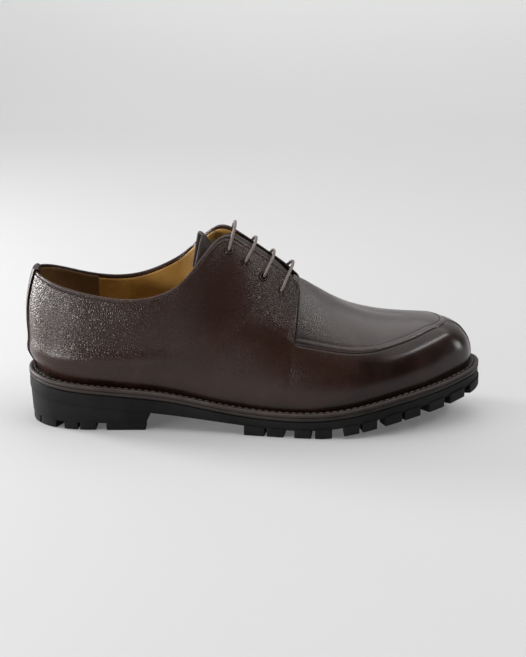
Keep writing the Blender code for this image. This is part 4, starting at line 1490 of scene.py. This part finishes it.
def lace_path(top_x, from_edge, lean, pull):
    """The middle of a lace bar: out of one hole, over the facings and the throat, into the other hole."""
    ends = {side: [] for side in SIDES}
    for side in SIDES:
        for share, height in LACE_END:
            angle = station_of_top(side, top_x + lean * (1 - share))
            place = place_from_top(side, angle, from_edge * share)
            behind = (FACING_ANGLE - angle) * SOLE_LENGTH / 2
            ends[side].append(side_point(side, angle, place, facing_lift(behind) + height))
    middle = bridge(ends[LATERAL], ends[MEDIAL], pull, np.array((0.25, 0.5, 0.75)))
    route = np.vstack([ends[LATERAL], middle, ends[MEDIAL][::-1]])
    lengths = arc_lengths(route, 0)
    return natural_spline(lengths, route)(np.linspace(0, lengths[-1], LACE_POINTS))


def lace_tube(path):
    """Points of a round tube along a path, and each point's distance along and turn around."""
    tangents = unit(np.gradient(path, axis=0))
    across = unit(np.cross(tangents, (1.0, 0.0, 0.0)))
    beside = np.cross(tangents, across)
    turns = np.arange(LACE_SIDES) * 2 * math.pi / LACE_SIDES
    ring = np.cos(turns)[None, :, None] * across[:, None] + np.sin(turns)[None, :, None] * beside[:, None]
    points = path[:, None] + ring * LACE_DIAMETER / 2
    return points.reshape(-1, 3), np.repeat(arc_lengths(path, 0), LACE_SIDES), np.tile(turns, len(path))


def laces():
    bars = zip(EYELETS["top_x"], EYELETS["from_edge"], LACE_BARS["lean"], LACE_BARS["pull"])
    faces = tube_faces(LACE_POINTS, LACE_SIDES)
    for number, bar in enumerate(bars, 1):
        path = lace_path(*bar)
        points, along, around = lace_tube(path)
        looks = dict(sharp=60, along=along, around=around)
        replaced = (f"lace_bar_{number}",)
        piece = add_piece(f"lace_{number}", points, faces, CORD_FINISH, "waxed_cord", replaced, **looks)
        row_path = in_row_frame(path)
        length = arc_lengths(row_path, 0)[-1]


# Stitches


def joined(solids):
    """Several solids as one list of points and faces."""
    all_points = []
    all_faces = []
    start = 0
    for points, faces in solids:
        all_points.append(points)
        all_faces += [[index + start for index in face] for face in faces]
        start += len(points)
    return np.vstack(all_points), all_faces


def value_along(place, lengths, values):
    return np.array([np.interp(place, lengths, column) for column in values.T])


def stitches(name, lines, material, sink=STITCH_SINK):
    """Rows of stitches along lines of points and normals, each a short thread that dives in at its ends."""
    pitch, length, radius = STITCH_SIZES[name]
    turns = np.arange(STITCH_SIDES)[:, None] * 2 * math.pi / STITCH_SIDES
    shares = np.linspace(-1, 1, STITCH_RINGS)[:, None]
    radii = radius * np.sqrt(1 - STITCH_TAPER * shares**4)[:, None]
    heights = radius * STITCH_RISE * (1 - shares**2) - sink
    faces = tube_faces(STITCH_RINGS, STITCH_SIDES)
    threads = []
    for line, normals in lines:
        lengths = arc_lengths(line, 0)
        number = max(1, int(lengths[-1] / pitch))
        for middle in (np.arange(number) + 0.5) * lengths[-1] / number:
            start = value_along(middle - STITCH_AIM, lengths, line)
            end = value_along(middle + STITCH_AIM, lengths, line)
            normal = unit(value_along(middle, lengths, normals))
            along = unit(end - start)
            beside = np.cross(along, normal)
            spine = (start + end) / 2 + shares * along * length / 2 + heights * normal
            ring = np.cos(turns) * beside + np.sin(turns) * normal
            threads.append(((spine[:, None] + radii * ring).reshape(-1, 3), faces))
    add_piece(name, *joined(threads), material, "waxed_cord")


def line_at(patch, numbers, values, level, axis):
    """The lifted points and normals where values, which change along the axis, reach the level."""
    places = patch.number_of[numbers]
    both = np.concatenate([patch.outer()[places], patch.normals[places]], -1)
    if axis == 0:
        both, values = both.swapaxes(0, 1), values.T
    line = []
    for row, value in zip(both, values):
        order = np.argsort(value)
        if value[order[0]] <= level <= value[order[-1]]:
            line.append(value_along(level, value[order], row[order]))
    line = np.array(line)
    return line[:, :3], unit(line[:, 3:])


def upper_stitches(sides, side_grids, apron_patch, apron_grids):
    """Stitches along the collar, the facing's edge and its lower corner, and the apron's rim."""
    lines = {"collar_stitches": [], "facing_stitches": [], "bar_tacks": [], "apron_stitches": []}
    for side in SIDES:
        grid = side_grids[side]
        numbers, behind = grid["numbers"], grid["behind"]
        lines["collar_stitches"].append(line_at(sides, numbers, grid["below_top"], COLLAR_STITCH, 1))
        stitched = grid["above"] > FACING_STITCH_START
        tacked = (grid["above"] > TACK_SHARES[0]) & (grid["above"] < TACK_SHARES[1])
        for distance in FACING_STITCHES:
            line = line_at(sides, numbers[:, stitched], behind[:, stitched], distance, 0)
            lines["facing_stitches"].append(line)
        for distance in TACK_DISTANCES:
            lines["bar_tacks"].append(line_at(sides, numbers[:, tacked], behind[:, tacked], distance, 0))
        grid = apron_grids[side]
        ahead = grid["ahead"] > RIM_STITCH_START
        line = line_at(apron_patch, grid["numbers"][ahead], grid["from_seam"][ahead], RIM_STITCH, 1)
        lines["apron_stitches"].append(line)
    for name, places in lines.items():
        stitches(name, places, THREAD_FINISH)


# Sole


def rubber_top(x):
    return welt_height(x) - WELT_THICKNESS - MIDSOLE_THICKNESS - 2 * GAP


def rubber_bottom(x):
    shank = smooth_ramp((FOREFOOT_START_X - x) / (FOREFOOT_START_X - HEEL_BREAST_X))
    return rubber_top(x) - RUBBER_THICKNESS - SHANK_EXTRA * shank


def tread_height(x):
    """Height of the lugs' faces: flat on the floor up to the ball, then rising with the toe."""
    rising = np.maximum(0.0, welt_height(x) - SOLE_THICKNESS)
    return np.where(np.asarray(x) > BALL_X, rising, 0.0)


def ring_sweep(section):
    """A closed section carried all around the outline: its points, faces and shades, which hold the
    section's painted highlight and painted shade.
    """
    angles = np.linspace(0, math.pi, WELT_STEPS)
    patch = Patch("shade")
    around = np.append(np.arange(len(section["inset"])), 0)
    for side, places in ((LATERAL, angles), (MEDIAL, angles[::-1])):
        columns = []
        for inset, height in zip(section["inset"][around], section["height"][around]):
            points = outline(side, places, inset)
            points[:, 2] += height
            columns.append(points)
        patch.add_grid(np.stack(columns, 1), shade=section["shade"][around])
    points, faces = patch.solid()
    return points, faces, patch.values["shade"]


def plate(profile, top_of, bottom_of, extra_inset=0.0):
    """A plate over the outline's plan: its rim follows the profile between two heights."""
    angles = np.linspace(0, math.pi, PLATE_STEPS)
    rim = list(zip(profile["inset"], profile["share"]))
    rows = []
    for side, way in ((LATERAL, rim), (MEDIAL, rim[::-1])):
        for inset, share in way:
            points = outline(side, angles, inset + extra_inset)
            points[:, 2] = top_of(points[:, 0]) * (1 - share) + bottom_of(points[:, 0]) * share
            rows.append(points)
    patch = Patch()
    patch.add_grid(np.stack([*rows, rows[0]], 1))
    return patch.solid()


def lug(plan, top_of, bottom_of):
    """An upright block over a plan of points, with its lower and upright edges bevelled."""
    work = bmesh.new()
    low = [work.verts.new((x, y, float(bottom_of(x)))) for x, y in plan]
    high = [work.verts.new((x, y, float(top_of(x)))) for x, y in plan]
    count = len(plan)
    work.faces.new(low)
    top_face = work.faces.new(high)
    for i in range(count):
        work.faces.new((low[i], low[(i + 1) % count], high[(i + 1) % count], high[i]))
    bmesh.ops.recalc_face_normals(work, faces=work.faces)
    free = [edge for edge in work.edges if top_face not in edge.link_faces]
    sharp = [edge for edge in free if edge.calc_face_angle(0) > LUG_BEVEL_ANGLE]
    bevel = dict(offset=LUG_BEVEL, segments=2, profile=LUG_BEVEL_PROFILE, affect="EDGES")
    bmesh.ops.bevel(work, geom=sharp, **bevel)
    work.verts.index_update()
    points = np.array([vertex.co for vertex in work.verts])
    faces = [[vertex.index for vertex in face.verts] for face in work.faces]
    work.free()
    return points, faces


def edge_plan(around, inset):
    """The plan of a lug along the outline through these sides and angles."""
    outer = [outline(side, angle, inset)[:2] for side, angle in around]
    inner = [outline(side, angle, inset + LUG_DEPTH)[:2] for side, angle in reversed(around)]
    return outer + inner


def edge_lugs(lugs, inset):
    """The plans of the lugs along both edges."""
    for start, end in zip(lugs["start"], lugs["end"]):
        angles = np.linspace(angle_of(start), angle_of(end), LUG_STEPS)
        for side in SIDES:
            yield edge_plan([(side, angle) for angle in angles], inset)


def round_end_plan(end_angle, start, inset):
    """The plan of a lug that goes round the back or the toe."""
    angles = np.linspace(angle_of(start), end_angle, ROUND_LUG_STEPS)
    return edge_plan([(LATERAL, a) for a in angles] + [(MEDIAL, a) for a in angles[-2::-1]], inset)


def box_plan(x, y):
    ends = (x - CENTRE_LUG_LENGTH / 2, x + CENTRE_LUG_LENGTH / 2)
    sides = (y - CENTRE_LUG_HALF_WIDTH, y + CENTRE_LUG_HALF_WIDTH)
    return [(ends[0], sides[0]), (ends[1], sides[0]), (ends[1], sides[1]), (ends[0], sides[1])]


def heel_block():
    """The solid part of the heel, drawn in towards the floor, with a rounded lower edge."""
    layers = []
    for share, extra in zip(HEEL_LAYERS["share"], HEEL_LAYERS["inset"]):
        angles = np.linspace(angle_of(HEEL_BREAST_X - HEEL_BREAST_SLOPE * share), 0, HEEL_STEPS)
        inset = HEEL_INSET + HEEL_TAPER * share + extra
        points = np.vstack([outline(LATERAL, angles, inset), outline(MEDIAL, angles[-2::-1], inset)])
        top = rubber_bottom(points[:, 0]) + LUG_ROOT
        points[:, 2] = top * (1 - share) + HEEL_LUG_HEIGHT * share
        layers.append(points)
    return np.vstack(layers), tube_faces(len(layers), len(layers[0]))


def outsole():
    blocks = [plate(EDGE_PROFILE, rubber_top, rubber_bottom, EDGE_INSET - RUBBER_OUT), heel_block()]
    inset = HEEL_INSET + HEEL_TAPER + GAP
    plans = [round_end_plan(0.0, HEEL_BACK_LUG_X, inset), *edge_lugs(HEEL_LUGS, inset)]
    plans += [box_plan(x, 0) for x in HEEL_CENTRE_LUGS_X]
    blocks += [lug(plan, lambda x: HEEL_LUG_HEIGHT + LUG_ROOT, lambda x: 0.0) for plan in plans]
    plans = [round_end_plan(math.pi, TOE_LUG_X, TREAD_INSET), *edge_lugs(FOREFOOT_LUGS, TREAD_INSET)]
    for x in np.arange(FOREFOOT_CENTRE_START_X, FOREFOOT_CENTRE_END_X, CENTRE_LUG_PITCH):
        angle = angle_of(x)
        plans.append(box_plan(x, (outline(LATERAL, angle)[1] + outline(MEDIAL, angle)[1]) / 2))
    blocks += [lug(plan, lambda x: rubber_bottom(x) + LUG_ROOT, tread_height) for plan in plans]
    add_piece("rubber_sole", *joined(blocks), RUBBER_FINISH, "rubber", ("outsole",), sharp=40)


def add_edge(name, points, faces, node, shade):
    """A brown layer of the sole, darker towards the toe: painted shade away from the light on the heel."""
    shade = shade + SOLE_PAINTED_SHADE * rise(points[:, 0], *SOLE_PAINTED_SHADE_RISE)
    add_piece(name, points, faces, EDGE_FINISH, "edge_leather", (node,), sharp=50, shade=shade)


def welt_and_midsole():
    points, faces, shade = ring_sweep(WELT_SECTION)
    add_edge("welt_strip", points, faces, "welt", shade + WELT_SHADE)
    points, faces = plate(
        MIDSOLE_PROFILE,
        lambda x: welt_height(x) - WELT_THICKNESS - GAP,
        lambda x: rubber_top(x) + GAP,
    )
    add_edge("midsole_edge", points, faces, "midsole", MIDSOLE_SHADE)
    angles = np.linspace(0, math.pi, WELT_STITCH_STEPS)
    lateral = outline(LATERAL, angles, WELT_STITCH_INSET)
    line = np.vstack([lateral, outline(MEDIAL, angles[-2:0:-1], WELT_STITCH_INSET)])
    line[:, 2] -= WELT_STITCH_DEPTH
    upward = np.tile((0.0, 0.0, 1.0), (len(line), 1))
    stitches("welt_stitches", [(line, upward)], WELT_THREAD_FINISH, WELT_STITCH_SINK)


def insole():
    points, faces = plate(
        EDGE_PROFILE,
        lambda x: welt_height(x) + INSOLE_ABOVE_WELT,
        lambda x: welt_height(x) - WELT_THICKNESS,
        WELT_MARGIN + WALL + 3 * GAP,
    )
    add_piece("sock", points, faces, LINING_FINISH, "lining_leather", ("insole",), sharp=50)


# Stage


def add_backdrop():
    """A pale floor that bends up far behind the shoe. It glows a little: painted light that lifts the
    shadows on it.
    """
    glow = dict(Emission_Color=(1, 1, 1, 1), Emission_Strength=BACKDROP_GLOW)
    finish = Finish("backdrop", Roughness=0.7, **glow)
    pale = finish.mix(finish.noise(scale=3, detail=3), *FLOOR_COLOURS)
    height = finish.add("SeparateXYZ", {"Vector": finish.place}, "Z")
    finish.set("Base Color", finish.mix(finish.ramp(height, 0.0, BACKDROP_RISE), pale, BACKDROP_COLOUR))
    turns = np.linspace(0, math.pi / 3, 24)
    bend_y = BACKDROP_Y + BACKDROP_RADIUS * np.sin(turns)
    bend_z = BACKDROP_RADIUS * (1 - np.cos(turns))
    profile = [(BACKDROP_FRONT, 0.0), *zip(bend_y, bend_z)]
    points = [(x, y, z) for y, z in profile for x in (-BACKDROP_REACH, BACKDROP_REACH)]
    faces = [(2 * i, 2 * i + 1, 2 * i + 3, 2 * i + 2) for i in range(len(profile) - 1)]
    mesh = bpy.data.meshes.new("backdrop")
    mesh.from_pydata(points, [], faces)
    mesh.materials.append(finish.material)
    mesh.shade_smooth()
    backdrop = add_object("backdrop", mesh)


def aim(item, place, direction):
    """Places a light or the camera so that it looks in a direction."""
    item.location = place
    item.rotation_mode = "QUATERNION"
    item.rotation_quaternion = direction.to_track_quat("-Z", "Y")


def add_lights():
    for name, place, target, width, height, power in LIGHTS:
        light = bpy.data.lights.new(name, "AREA")
        light.shape = "RECTANGLE"
        light.size = width
        light.size_y = height
        light.energy = power
        lamp = add_object(name, light)
        aim(lamp, place, Vector(target) - Vector(place))


def add_world():
    """Soft light from above and behind, dim in front so that the dark leather keeps its depth."""
    world = bpy.data.worlds.new("studio")
    world.use_nodes = True
    tree = Nodes(world.node_tree)
    direction = tree.add("TexCoord", {}, "Generated")
    height = tree.add("VectorMath", {0: direction, 1: WORLD_AXIS}, "Value", operation="DOT_PRODUCT")
    sky = tree.nodes["Background"]
    sky.inputs["Color"].default_value = (1, 1, 1, 1)
    tree.feed(sky.inputs["Strength"], tree.ramp(height, *WORLD_RANGE, *WORLD_LEVELS))
    bpy.context.scene.world = world


def add_camera():
    camera = bpy.data.cameras.new("camera")
    camera.lens = CAMERA_LENS
    camera.sensor_width = 36
    pitch = math.radians(CAMERA_PITCH)
    back = Vector((0, -math.cos(pitch), math.sin(pitch)))
    eye = add_object("camera", camera)
    aim(eye, Vector(in_row_frame(CAMERA_TARGET)) + back * CAMERA_DISTANCE * MM, -back)
    bpy.context.scene.camera = eye


def main():
    sides, side_grids = leather_sides()
    apron_patch, apron_grids = apron()
    add_leather("side_leather", sides, LEATHER, LEATHER_FINISH, "leather", ("upper",))
    add_leather("apron_leather", apron_patch, APRON_THICKNESS, APRON_FINISH, "leather")
    upper_stitches(sides, side_grids, apron_patch, apron_grids)
    heel_strip()
    linings()
    tongue()
    laces()
    outsole()
    welt_and_midsole()
    insole()
    add_backdrop()
    add_world()
    add_lights()
    add_camera()
    bpy.context.scene.view_settings.view_transform = "Standard"


main()
